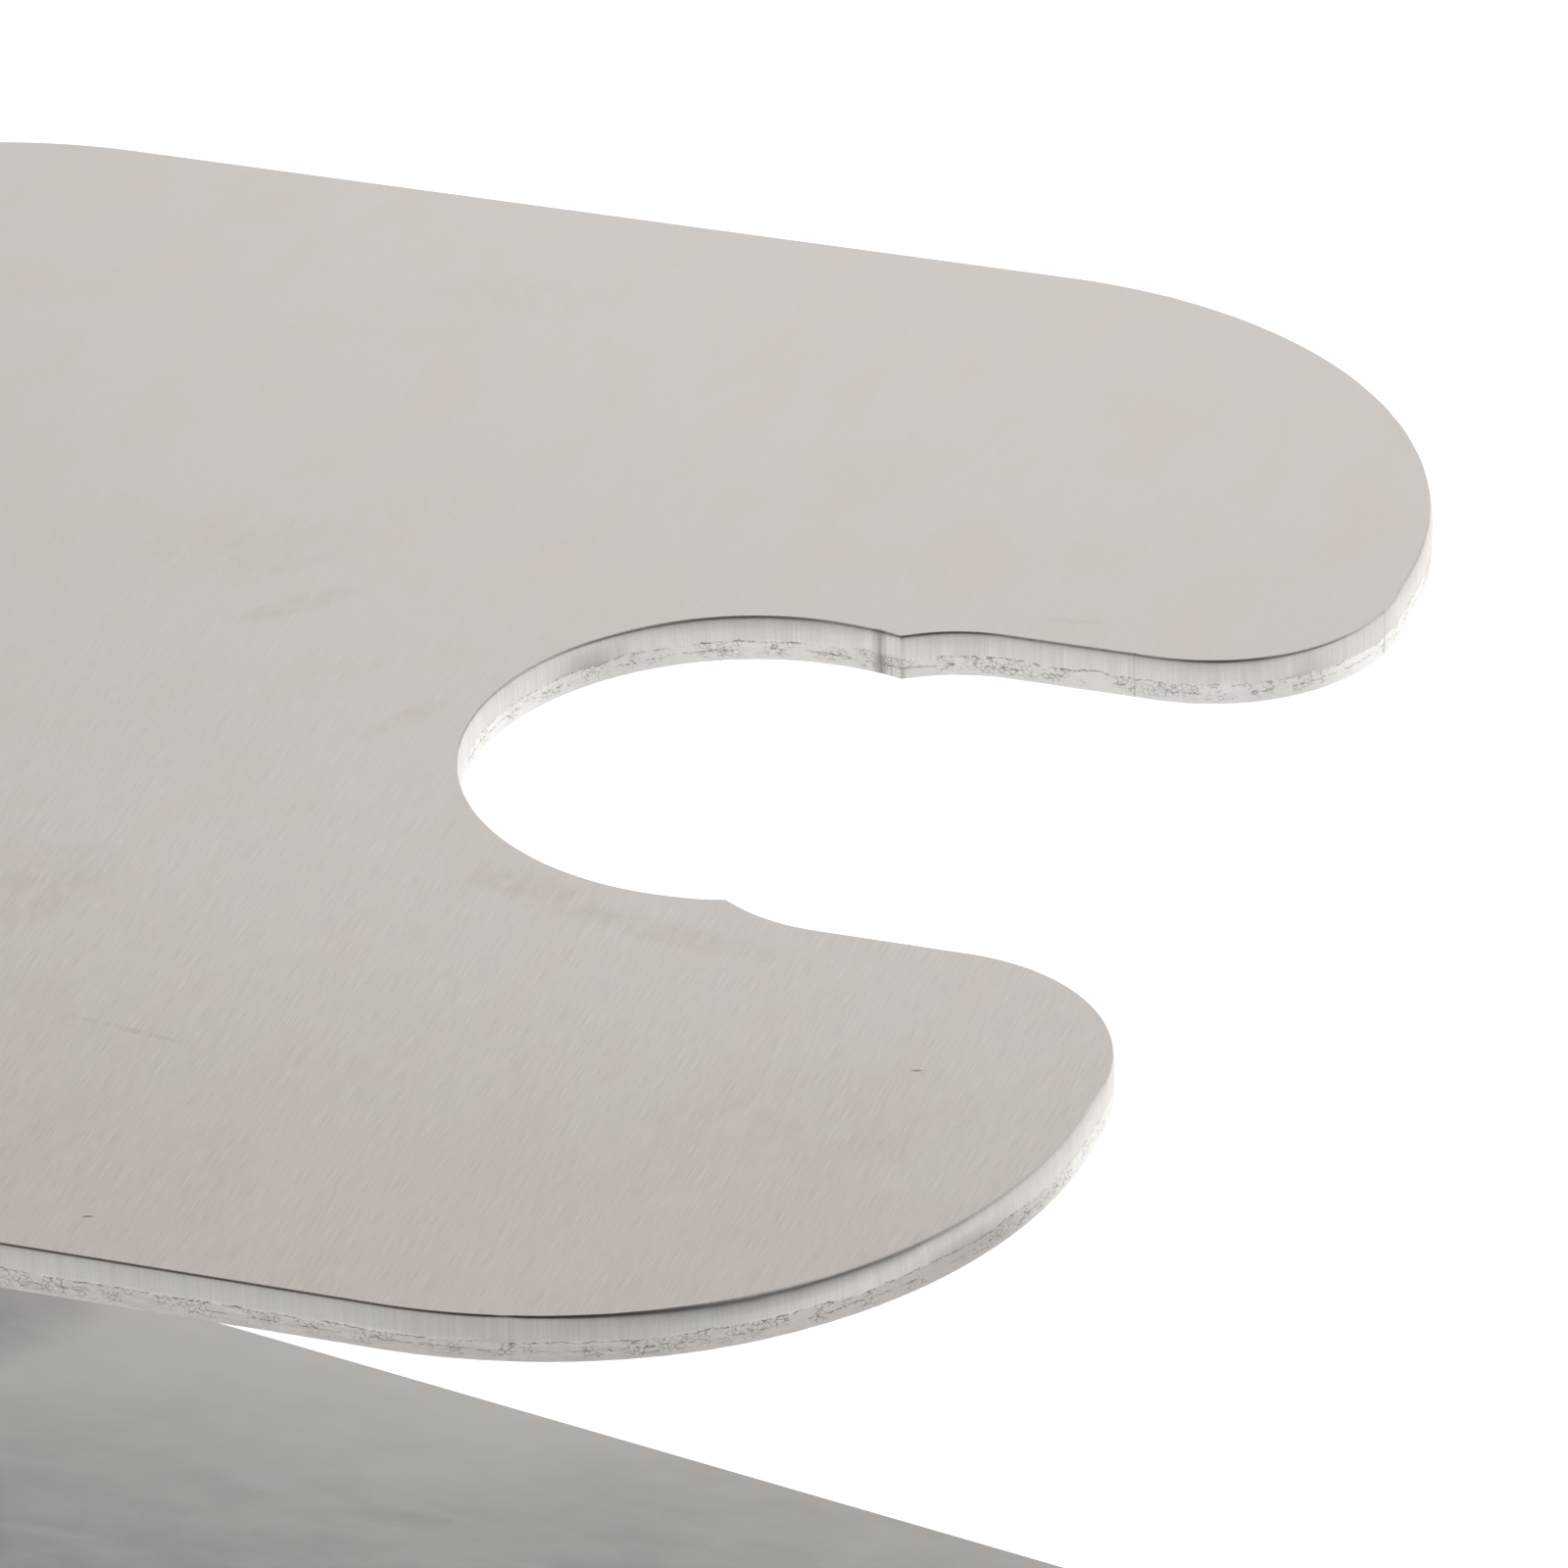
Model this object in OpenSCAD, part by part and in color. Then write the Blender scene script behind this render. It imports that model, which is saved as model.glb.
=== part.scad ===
// Palette knife with a cranked neck. A wide tapered blade lies flat on the
// table, a strap bent to a C rises from its heel, and a notched palm plate is
// screwed to the strap's upper flange, level with the blade.
// Millimetres. +X runs along the blade towards its tip, +Z is up, and the
// origin is the middle of the blade's footprint, on its lower face.

/* [Palm plate] */
// Length of the palm plate, from its rear edge to its notched front edge
palm_len = 84.5; // [80:0.5:105]
// Width of the palm plate
palm_w = 86; // [80:0.5:110]
// Thickness of the palm plate's sheet
palm_t = 2; // [1.8:0.1:3]
// Radius of the palm plate's four corners
palm_corner_r = 21; // [10:0.5:28]

/* [Finger notch] */
// Diameter of the round hole at the bottom of the notch
notch_hole_d = 23; // [18:0.5:26]
// Distance from the hole's centre to the palm plate's front edge
notch_reach = 21.1; // [18:0.1:26]
// Width of the slot that opens the hole to the front edge
slot_w = 24.8; // [20:0.2:30]
// Radius of the slot's two inner corners
slot_corner_r = 7.2; // [4:0.2:9]
// How far behind the hole's centre the slot's punch begins
slot_overlap = 0.2; // [0:0.1:2]
// Radius of the lips at the mouth of the notch
mouth_r = 7.8; // [3:0.2:10]

/* [Blade] */
// Length of the blade, heel to tip
blade_len = 178; // [145:1:220]
// Width of the blade across its heel
heel_w = 86; // [74:1:110]
// Length of the heel's parallel sides, before the taper begins
heel_straight = 16.5; // [14:0.5:24]
// Radius of the heel's two rear corners
heel_corner_r = 10; // [5:0.5:14]
// Radius that eases the parallel sides into the taper
shoulder_r = 50; // [30:1:80]
// Radius of the blade's tip
tip_r = 14; // [8:0.5:20]
// Thickness of the blade at its heel
blade_t = 1.2; // [1:0.1:2]
// Thickness of the blade at its tip
tip_t = 0.5; // [0.3:0.1:0.9]
// Length behind the tip over which the blade is ground thinner
grind_len = 100; // [60:1:110]

/* [Neck] */
// Clear height between the blade's top and the palm plate's underside
hand_gap = 56.8; // [45:0.2:75]
// Thickness of the bent strap
strap_t = 3; // [2.5:0.1:4]
// Width of the strap's flanges
strap_w = 36; // [32:0.5:44]
// Width of the strap at the waist of its upright
waist_w = 27; // [22:0.5:31]
// Inside radius of the strap's two bends
bend_r = 3; // [2:0.5:5]
// Radius of the flanges' outer corners
flange_corner_r = 5; // [2:0.5:5]
// How far the strap stands in from the rear edge of blade and palm plate
neck_inset = 3; // [2:0.5:6]

/* [Heel doubler] */
// Width of the doubler across the blade
doubler_w = 62; // [58:1:72]
// Thickness of the doubler
doubler_t = 1.5; // [1:0.1:2.5]

/* [Fasteners] */
// Thread diameter of the palm screws
screw_d = 3; // [2.5:0.5:4]
// Length of the palm screws, head included
screw_len = 10; // [9.5:0.5:14]
// Spacing of the palm screws across the plate
screw_pitch_y = 22; // [20:0.5:25]
// Spacing of the palm screws along the plate
screw_pitch_x = 10; // [9:0.5:13]
// Shank diameter of the rivets
rivet_d = 4; // [3:0.5:4.5]
// Spacing of the three flange rivets
rivet_pitch = 11.5; // [10:0.5:12]
// Radial clearance of the screws in the plate and the strap
screw_clearance = 0.15; // [0.1:0.05:0.3]
// Radial clearance left round the rivets
rivet_clearance = 0.03; // [0.02:0.01:0.1]

/* [Hidden] */
$fn = 96;
cut = 1;                                    // how far a cut runs past a face
heel_x = -blade_len / 2;                    // rear edge of blade and palm plate
tip_x = blade_len / 2;
doubler_z = blade_t;                        // doubler's lower face
flange_z = doubler_z + doubler_t;           // lower flange's lower face
palm_z = blade_t + hand_gap;                // palm plate's lower face
notch_x = heel_x + palm_len - notch_reach;  // centre of the notch's hole
lip_r = min(mouth_r, palm_w / 2 - palm_corner_r - slot_w / 2);

neck_x = heel_x + neck_inset;               // rear face of the strap
bend_end = neck_x + strap_t + bend_r;       // where both flanges become flat
neck_h = palm_z - flange_z;

// standard proportions of small screws, as shares of the thread's diameter
head_share = 1.93;
socket_share = 0.66;
socket_depth_share = 0.38;
washer_share = 2.33;
washer_t_share = 1 / 6;
nut_share = 1.83;
nut_h_share = 0.8;
head_d = head_share * screw_d;              // countersunk head
head_h = (head_d - screw_d) / 2;            // 90 degree cone
socket_af = socket_share * screw_d;
socket_depth = socket_depth_share * screw_d;
washer_d = washer_share * screw_d;
washer_t = washer_t_share * screw_d;
nut_af = nut_share * screw_d;
nut_h = nut_h_share * screw_d;
thread_gap = 0.02;                          // keeps nut and screw apart
head_sink = 0.05;                           // heads lie this far below flush

// proportions of a rivet, as shares of its shank's diameter
rivet_head_share = 1.85;
rivet_head_h_share = 0.58;
rivet_foot_share = 1.5;
foot_depth_share = 0.75;                    // share of the blade's thickness
rivet_head_d = rivet_head_share * rivet_d;
rivet_head_h = rivet_head_h_share * rivet_d;
rivet_foot_d = rivet_foot_share * rivet_d;  // countersunk foot in the blade
rivet_foot_h = foot_depth_share * blade_t;
head_margin = 0.4;                          // head or washer to bend
edge_margin = 1.8;                          // rivet head to the lower flange's edge
palm_margin = 7.2;                          // washer to the upper flange's edge

screw_rear_x = bend_end + washer_d / 2 + head_margin;
screw_xs = [screw_rear_x, screw_rear_x + screw_pitch_x];
screw_ys = [-screw_pitch_y / 2, screw_pitch_y / 2];
palm_flange_x = screw_rear_x + screw_pitch_x + washer_d / 2 + palm_margin;

rivet_x = bend_end + rivet_head_d / 2 + head_margin;
rivet_ys = [-rivet_pitch, 0, rivet_pitch];
blade_flange_x = rivet_x + rivet_head_d / 2 + edge_margin;

doubler_x0 = heel_x + neck_inset / 2;
doubler_x1 = blade_flange_x;
doubler_mid_x = (doubler_x0 + doubler_x1) / 2;
doubler_end_flat = 1;                       // straight part of the doubler's ends
rivet_shift = 0.1;                          // outwards from midway, strap to end
doubler_rivet_y = (strap_w + doubler_w) / 4 + rivet_shift;

shoulder = [heel_x + heel_straight, heel_w / 2];
tip_centre = [tip_x - tip_r, 0];
// the straight flank runs from the shoulder to a tangent point on the tip
flank_run = norm(tip_centre - shoulder);
taper = asin((heel_w / 2) / flank_run) - asin(tip_r / flank_run);
shoulder_back = shoulder_r * tan(taper / 2); // tangent length of the easing arc
ease_start = [shoulder[0] - shoulder_back, heel_w / 2];
heel_r = min(heel_corner_r, heel_straight - shoulder_back);
heel_steps = 16;                            // points round a heel corner
ease_steps = 6;                             // points round a shoulder
tip_steps = 24;                             // points round half the tip

// ---- shared shapes ----------------------------------------------------

// rectangle from x0 to x1, centred on Y, with four round corners
module round_rect(x0, x1, width, r) {
    translate([x0 + r, -width / 2]) square([x1 - x0 - 2 * r, width]);
    translate([x0, r - width / 2]) square([x1 - x0, width - 2 * r]);
    for (x = [x0 + r, x1 - r], side = [-1, 1])
        translate([x, side * (width / 2 - r)]) circle(r);
}

module at_palm_screws() {
    for (x = screw_xs, y = screw_ys) translate([x, y, 0]) children();
}

module at_flange_rivets() {
    for (y = rivet_ys) translate([rivet_x, y, 0]) children();
}

module at_doubler_rivets() {
    for (side = [-1, 1])
        translate([doubler_mid_x, side * doubler_rivet_y, 0]) children();
}

// hole through the strap or the doubler for a rivet
module rivet_hole(height) {
    cylinder(r = rivet_d / 2 + rivet_clearance, h = height);
}

// solid rivet: flush countersunk foot in the blade, domed head at z = stack
module rivet(stack) {
    dome_r = (pow(rivet_head_d / 2, 2) + pow(rivet_head_h, 2)) / (2 * rivet_head_h);
    translate([0, 0, head_sink]) cylinder(d = rivet_d, h = stack - head_sink);
    translate([0, 0, head_sink])
        cylinder(d1 = rivet_foot_d - 2 * head_sink, d2 = rivet_d, h = rivet_foot_h - head_sink);
    intersection() {
        translate([0, 0, stack + rivet_head_h - dome_r]) sphere(dome_r);
        translate([0, 0, stack]) cylinder(d = 2 * rivet_head_d, h = 2 * rivet_head_h);
    }
}

// the rivet's seat in the blade: a plain hole, countersunk from below
module rivet_seat() {
    translate([0, 0, -cut]) rivet_hole(blade_t + 2 * cut);
    translate([0, 0, -head_sink])
        cylinder(d1 = rivet_foot_d + 2 * rivet_clearance + 2 * head_sink,
                 d2 = rivet_d + 2 * rivet_clearance, h = rivet_foot_h + head_sink);
}

// ---- palm plate -------------------------------------------------------

// the notch: round hole, wider slot with round inner corners, rounded lips
module notch_shape() {
    past = notch_reach + slot_corner_r + cut;
    circle(d = notch_hole_d);
    round_rect(-slot_overlap, past, slot_w, slot_corner_r);
    for (side = [0, 1]) mirror([0, side]) difference() {
        translate([notch_reach - lip_r, slot_w / 2 - cut]) square([lip_r + cut, lip_r + cut]);
        translate([notch_reach - lip_r, slot_w / 2 + lip_r]) circle(lip_r);
    }
}

module palm_plate() {
    color([0.79, 0.77, 0.75]) difference() {
        translate([0, 0, palm_z]) linear_extrude(palm_t) difference() {
            round_rect(heel_x, heel_x + palm_len, palm_w, palm_corner_r);
            translate([notch_x, 0]) notch_shape();
        }
        at_palm_screws() {
            translate([0, 0, palm_z - cut])
                cylinder(r = screw_d / 2 + screw_clearance, h = palm_t + 2 * cut);
            translate([0, 0, palm_z + palm_t - head_h - head_sink])
                cylinder(d1 = screw_d, d2 = head_d + 2 * head_sink, h = head_h + head_sink);
        }
    }
}

// ---- blade and doubler ------------------------------------------------

// round stretch of an outline, from one angle to another
function arc(centre, r, from, to, steps) =
    [for (i = [0:steps]) centre + r * [cos(from + (to - from) * i / steps),
                                       sin(from + (to - from) * i / steps)]];

// round heel corners, eased shoulders, straight flanks and a round tip
module blade_outline() {
    heel = arc([heel_x + heel_r, heel_w / 2 - heel_r], heel_r, 180, 90, heel_steps);
    ease = arc([ease_start[0], heel_w / 2 - shoulder_r], shoulder_r, 90, 90 - taper,
               ease_steps);
    half_tip = arc(tip_centre, tip_r, 90 - taper, 0, tip_steps);
    half = concat(heel, ease, half_tip);
    last = len(half) - 2;                   // the tip's own point isn't repeated
    polygon(concat(half, [for (i = [last:-1:0]) [half[i][0], -half[i][1]]]));
}

// wedge that is ground off the top of the blade towards its tip
module grind() {
    start_x = tip_x - grind_len;
    drop = (blade_t - tip_t) / grind_len;
    rotate([90, 0, 0]) linear_extrude(heel_w + 2 * cut, center = true)
        polygon([[start_x, blade_t], [tip_x + cut, tip_t - drop * cut],
                 [tip_x + cut, blade_t + cut], [start_x, blade_t + cut]]);
}

module blade() {
    color([0.66, 0.66, 0.65]) difference() {
        linear_extrude(blade_t) blade_outline();
        grind();
        at_flange_rivets() rivet_seat();
        at_doubler_rivets() rivet_seat();
    }
}

module heel_doubler() {
    end_r = (doubler_x1 - doubler_x0 - doubler_end_flat) / 2;
    color([0.62, 0.62, 0.62]) translate([0, 0, doubler_z]) difference() {
        linear_extrude(doubler_t) round_rect(doubler_x0, doubler_x1, doubler_w, end_r);
        translate([0, 0, -cut]) {
            at_flange_rivets() rivet_hole(doubler_t + 2 * cut);
            at_doubler_rivets() rivet_hole(doubler_t + 2 * cut);
        }
    }
}

// ---- neck -------------------------------------------------------------

// side view of the bent strap, x along the knife and y up
module strap_profile() {
    outer_r = bend_r + strap_t;
    past = palm_flange_x + outer_r + cut;
    intersection() {
        translate([0, flange_z + neck_h / 2]) difference() {
            round_rect(neck_x, past, neck_h, outer_r);
            round_rect(neck_x + strap_t, past + outer_r, neck_h - 2 * strap_t, bend_r);
        }
        union() {
            translate([neck_x, flange_z + neck_h / 2])
                square([palm_flange_x - neck_x, neck_h / 2]);
            translate([neck_x, flange_z]) square([blade_flange_x - neck_x, neck_h / 2]);
        }
    }
}

// a flange seen from above, with two round corners at its front
module flange_outline(front_x) {
    round_rect(neck_x - 2 * flange_corner_r, front_x, strap_w, flange_corner_r);
}

// scoops that narrow the upright to its waist
module waist_cut() {
    scoop_h = neck_h - 2 * (strap_t + bend_r);
    depth = (strap_w - waist_w) / 2;
    scoop_r = (pow(scoop_h / 2, 2) + pow(depth, 2)) / (2 * depth);
    for (side = [-1, 1])
        translate([neck_x - cut, side * (waist_w / 2 + scoop_r), flange_z + neck_h / 2])
            rotate([0, 90, 0]) cylinder(r = scoop_r, h = strap_t + 2 * cut);
}

module neck_bracket() {
    color([0.60, 0.61, 0.62]) difference() {
        intersection() {
            rotate([90, 0, 0]) linear_extrude(strap_w, center = true) strap_profile();
            union() {
                translate([0, 0, flange_z]) linear_extrude(neck_h / 2)
                    flange_outline(blade_flange_x);
                translate([0, 0, flange_z + neck_h / 2]) linear_extrude(neck_h / 2)
                    flange_outline(palm_flange_x);
            }
        }
        waist_cut();
        at_palm_screws() translate([0, 0, palm_z - strap_t - cut])
            cylinder(r = screw_d / 2 + screw_clearance, h = strap_t + 2 * cut);
        at_flange_rivets() translate([0, 0, flange_z - cut]) rivet_hole(strap_t + 2 * cut);
    }
}

// ---- fasteners --------------------------------------------------------

module palm_screws() {
    head_z = palm_z + palm_t - head_sink;
    color([0.72, 0.73, 0.74]) at_palm_screws() translate([0, 0, head_z]) difference() {
        union() {
            translate([0, 0, -screw_len]) cylinder(d = screw_d, h = screw_len);
            translate([0, 0, -head_h]) cylinder(d1 = screw_d, d2 = head_d, h = head_h);
        }
        translate([0, 0, -socket_depth])
            cylinder(d = socket_af / cos(30), h = socket_depth + cut, $fn = 6);
    }
}

module palm_washers() {
    color([0.74, 0.75, 0.76]) at_palm_screws()
        translate([0, 0, palm_z - strap_t - washer_t]) difference() {
            cylinder(d = washer_d, h = washer_t);
            translate([0, 0, -cut])
                cylinder(r = screw_d / 2 + screw_clearance, h = washer_t + 2 * cut);
        }
}

// hexagon nut with its corners chamfered on both faces
module palm_nuts() {
    corner_d = nut_af / cos(30);
    bevel = (corner_d - nut_af) / 4;
    color([0.74, 0.75, 0.76]) at_palm_screws()
        translate([0, 0, palm_z - strap_t - washer_t - nut_h]) difference() {
            intersection() {
                cylinder(d = corner_d, h = nut_h, $fn = 6);
                rotate_extrude() polygon([[0, 0], [nut_af / 2 - bevel / 2, 0],
                    [corner_d / 2, bevel], [corner_d / 2, nut_h - bevel],
                    [nut_af / 2 - bevel / 2, nut_h], [0, nut_h]]);
            }
            translate([0, 0, -cut])
                cylinder(r = screw_d / 2 + thread_gap, h = nut_h + 2 * cut);
        }
}

module flange_rivets() {
    color([0.70, 0.70, 0.69]) at_flange_rivets() rivet(flange_z + strap_t);
}

module doubler_rivets() {
    color([0.70, 0.70, 0.69]) at_doubler_rivets() rivet(doubler_z + doubler_t);
}

palm_plate();
blade();
neck_bracket();
heel_doubler();
palm_screws();
palm_washers();
palm_nuts();
flange_rivets();
doubler_rivets();
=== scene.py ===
"""Looks of a cranked palette knife: a tapered blade, a bent neck and a notched palm plate.

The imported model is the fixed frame. Every piece below is built where its CAD node says,
and stands for that node. Sizes are in millimetres until a mesh is made, and then in metres.
"""

from __future__ import annotations

import logging
import math
from dataclasses import dataclass, field
from enum import Enum
from typing import Callable, Iterable, Sequence

import bmesh
import bpy
from mathutils import Matrix, Vector, noise


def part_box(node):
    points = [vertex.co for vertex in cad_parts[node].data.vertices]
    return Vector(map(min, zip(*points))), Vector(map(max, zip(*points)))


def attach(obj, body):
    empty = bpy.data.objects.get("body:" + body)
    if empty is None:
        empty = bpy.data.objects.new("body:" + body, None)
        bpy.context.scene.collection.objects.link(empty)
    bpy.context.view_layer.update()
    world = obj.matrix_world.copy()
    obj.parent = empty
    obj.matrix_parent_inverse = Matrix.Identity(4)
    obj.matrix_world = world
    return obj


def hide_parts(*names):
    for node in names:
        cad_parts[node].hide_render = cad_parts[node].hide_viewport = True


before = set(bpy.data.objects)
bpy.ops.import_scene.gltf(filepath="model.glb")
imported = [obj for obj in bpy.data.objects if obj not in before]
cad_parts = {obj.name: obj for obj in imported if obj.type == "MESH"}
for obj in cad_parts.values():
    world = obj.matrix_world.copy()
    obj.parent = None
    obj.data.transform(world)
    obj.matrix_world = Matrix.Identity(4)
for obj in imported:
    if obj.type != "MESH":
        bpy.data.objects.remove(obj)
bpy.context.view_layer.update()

LOG = logging.getLogger("palette_knife")
MM = 0.001
BODY = "root"
X_AXIS, Y_AXIS, Z_AXIS = Vector((1, 0, 0)), Vector((0, 1, 0)), Vector((0, 0, 1))
WELD = 1e-7
Colour = tuple[float, float, float]


class Cut(Enum):
    """What a boolean tool does to the piece it meets."""

    DRILL = "DIFFERENCE"
    KEEP_INSIDE = "INTERSECT"


# ---------------------------------------------------------------- shader graph


class Signal:
    """A shader socket that can stand in an arithmetic expression."""

    def __init__(self, graph: "Graph", socket: bpy.types.NodeSocket) -> None:
        """Wraps a socket.

        Args:
            graph: the graph that the socket belongs to.
            socket: the output that carries the value.
        """
        self.graph = graph
        self.socket = socket

    def _math(self, operation: str, *values: "Signal | float") -> "Signal":
        """One Math node.

        Args:
            operation: the node's operation.
            values: its inputs in order.

        Returns:
            The node's output.
        """
        return self.graph.node("ShaderNodeMath", {"operation": operation}, dict(enumerate(values)))

    def __add__(self, other: "Signal | float") -> "Signal":
        """Sum."""
        return self._math("ADD", self, other)

    def __radd__(self, other: float) -> "Signal":
        """Sum with a number on the left."""
        return self._math("ADD", other, self)

    def __sub__(self, other: "Signal | float") -> "Signal":
        """Difference."""
        return self._math("SUBTRACT", self, other)

    def __rsub__(self, other: float) -> "Signal":
        """Difference with a number on the left."""
        return self._math("SUBTRACT", other, self)

    def __mul__(self, other: "Signal | float") -> "Signal":
        """Product."""
        return self._math("MULTIPLY", self, other)

    def __rmul__(self, other: float) -> "Signal":
        """Product with a number on the left."""
        return self._math("MULTIPLY", other, self)

    def __truediv__(self, other: "Signal | float") -> "Signal":
        """Quotient."""
        return self._math("DIVIDE", self, other)

    def __abs__(self) -> "Signal":
        """Absolute value."""
        return self._math("ABSOLUTE", self)

    def __pow__(self, other: float) -> "Signal":
        """Power."""
        return self._math("POWER", self, other)

    def ramp(self, low: float, high: float) -> "Signal":
        """Smooth rise from 0 at low to 1 at high.

        Args:
            low: value that gives 0.
            high: value that gives 1, which may be the smaller one.

        Returns:
            The eased signal.
        """
        if low > high:
            return 1 - self.ramp(high, low)
        settings = {"interpolation_type": "SMOOTHSTEP"}
        return self.graph.node(
            "ShaderNodeMapRange", settings, {"Value": self, "From Min": low, "From Max": high}
        )


class Graph:
    """Node tree whose nodes come from one method."""

    def __init__(self, tree: bpy.types.NodeTree) -> None:
        """Opens a tree.

        Args:
            tree: the node tree.
        """
        self.tree = tree

    def node(
        self,
        kind: str,
        settings: dict[str, object],
        inputs: dict[str | int, object],
        output: str | int = 0,
    ) -> Signal:
        """Adds a node.

        Args:
            kind: the node's type.
            settings: its properties, which are set before its sockets.
            inputs: values or signals by socket name or number.
            output: the output that is wanted.

        Returns:
            That output as a signal.
        """
        made = self.tree.nodes.new(kind)
        for name, value in settings.items():
            setattr(made, name, value)
        for key, value in inputs.items():
            if isinstance(value, Signal):
                self.tree.links.new(value.socket, made.inputs[key])
            else:
                made.inputs[key].default_value = value
        return Signal(self, made.outputs[output])


class Surface(Graph):
    """Material in millimetres on the piece, with a Principled shader at its end."""

    def __init__(self, name: str) -> None:
        """Makes the material.

        Args:
            name: the material's name.
        """
        self.material = bpy.data.materials.new(name)
        self.material.use_nodes = True
        super().__init__(self.material.node_tree)
        self.shader = self.tree.nodes["Principled BSDF"]
        coordinates = self.node("ShaderNodeTexCoord", {}, {}, "Object")
        self.place = self.node(
            "ShaderNodeVectorMath", {"operation": "SCALE"}, {"Vector": coordinates, "Scale": 1 / MM}
        )
        self.x, self.y, self.z = (
            self.node("ShaderNodeSeparateXYZ", {}, {"Vector": self.place}, axis) for axis in "XYZ"
        )

    def grain(
        self, per_mm: tuple[float, float, float], detail: float = 2.0, roughness: float = 0.5
    ) -> Signal:
        """Noise stretched by its own rate along each axis.

        Args:
            per_mm: how many features a millimetre holds, along X, Y and Z.
            detail: number of finer layers.
            roughness: weight of the finer layers.

        Returns:
            A value about 0.5.
        """
        vector = self.node("ShaderNodeMapping", {}, {"Vector": self.place, "Scale": per_mm})
        inputs = {"Vector": vector, "Scale": 1.0, "Detail": detail, "Roughness": roughness}
        return self.node("ShaderNodeTexNoise", {}, inputs)

    def cracks(self, per_mm: tuple[float, float, float]) -> Signal:
        """Distance to the borders of irregular cells.

        Args:
            per_mm: how many cells a millimetre holds, along X, Y and Z.

        Returns:
            0 on a border, growing inside a cell.
        """
        vector = self.node("ShaderNodeMapping", {}, {"Vector": self.place, "Scale": per_mm})
        settings = {"feature": "DISTANCE_TO_EDGE"}
        return self.node("ShaderNodeTexVoronoi", settings, {"Vector": vector, "Scale": 1.0})

    def spot(self, at: tuple[float, float], long: float, wide: float, turn: float) -> Signal:
        """Soft ellipse seen from above.

        Args:
            at: its centre, in millimetres.
            long: half its length.
            wide: half its width.
            turn: angle from X to its length, in degrees.

        Returns:
            1 at the centre, 0 past its border.
        """
        c, s = math.cos(math.radians(turn)), math.sin(math.radians(turn))
        dx, dy = self.x - at[0], self.y - at[1]
        along, across = dx * c + dy * s, dy * c - dx * s
        radius = (along / long) * (along / long) + (across / wide) * (across / wide)
        return radius.ramp(1.0, 0.0)

    def blend(self, a: object, b: object, factor: Signal | float, mode: str = "MIX") -> Signal:
        """Mixes two colours.

        Args:
            a: first colour.
            b: second colour.
            factor: share of the second.
            mode: blend type.

        Returns:
            The mixed colour.
        """
        first, second = (c if isinstance(c, Signal) else (*c, 1.0) for c in (a, b))
        settings = {"data_type": "RGBA", "blend_type": mode, "clamp_factor": True}
        return self.node("ShaderNodeMix", settings, {0: factor, 6: first, 7: second}, 2)

    def shade(self, colour: object, amount: Signal) -> Signal:
        """Multiplies a colour by a grey value.

        Args:
            colour: the colour.
            amount: the grey value.

        Returns:
            The shaded colour.
        """
        grey = self.node("ShaderNodeCombineColor", {}, {0: amount, 1: amount, 2: amount})
        return self.blend(colour, grey, 1.0, "MULTIPLY")

    def relief(self, height: Signal, depth_mm: float) -> Signal:
        """Bump.

        Args:
            height: the height signal, from 0 to 1.
            depth_mm: what a height of 1 stands for.

        Returns:
            The bumped normal.
        """
        inputs = {"Strength": 1.0, "Distance": depth_mm * MM, "Height": height}
        return self.node("ShaderNodeBump", {}, inputs)

    def finish(self, **sockets: object) -> bpy.types.Material:
        """Feeds the shader.

        Args:
            sockets: values or signals by the shader's socket names, spaces as underscores.

        Returns:
            The material.
        """
        for key, value in sockets.items():
            socket = self.shader.inputs[key.replace("_", " ")]
            if isinstance(value, Signal):
                self.tree.links.new(value.socket, socket)
            else:
                socket.default_value = value
        return self.material


# ---------------------------------------------------------------- finishes


@dataclass(frozen=True)
class StainAndShadePatch:
    """A soft patch on a sheet, placed from a point that its finish names: stains and scuffs on the
    brushed sheet, painted shade, darker patches and lighter streaks on the blade.

    Attributes:
        at: centre, in millimetres.
        long: half its length.
        wide: half its width.
        turn: angle from X to its length, in degrees.
        strength: how far it changes the colour.
    """

    at: tuple[float, float]
    long: float
    wide: float
    turn: float
    strength: float


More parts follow.
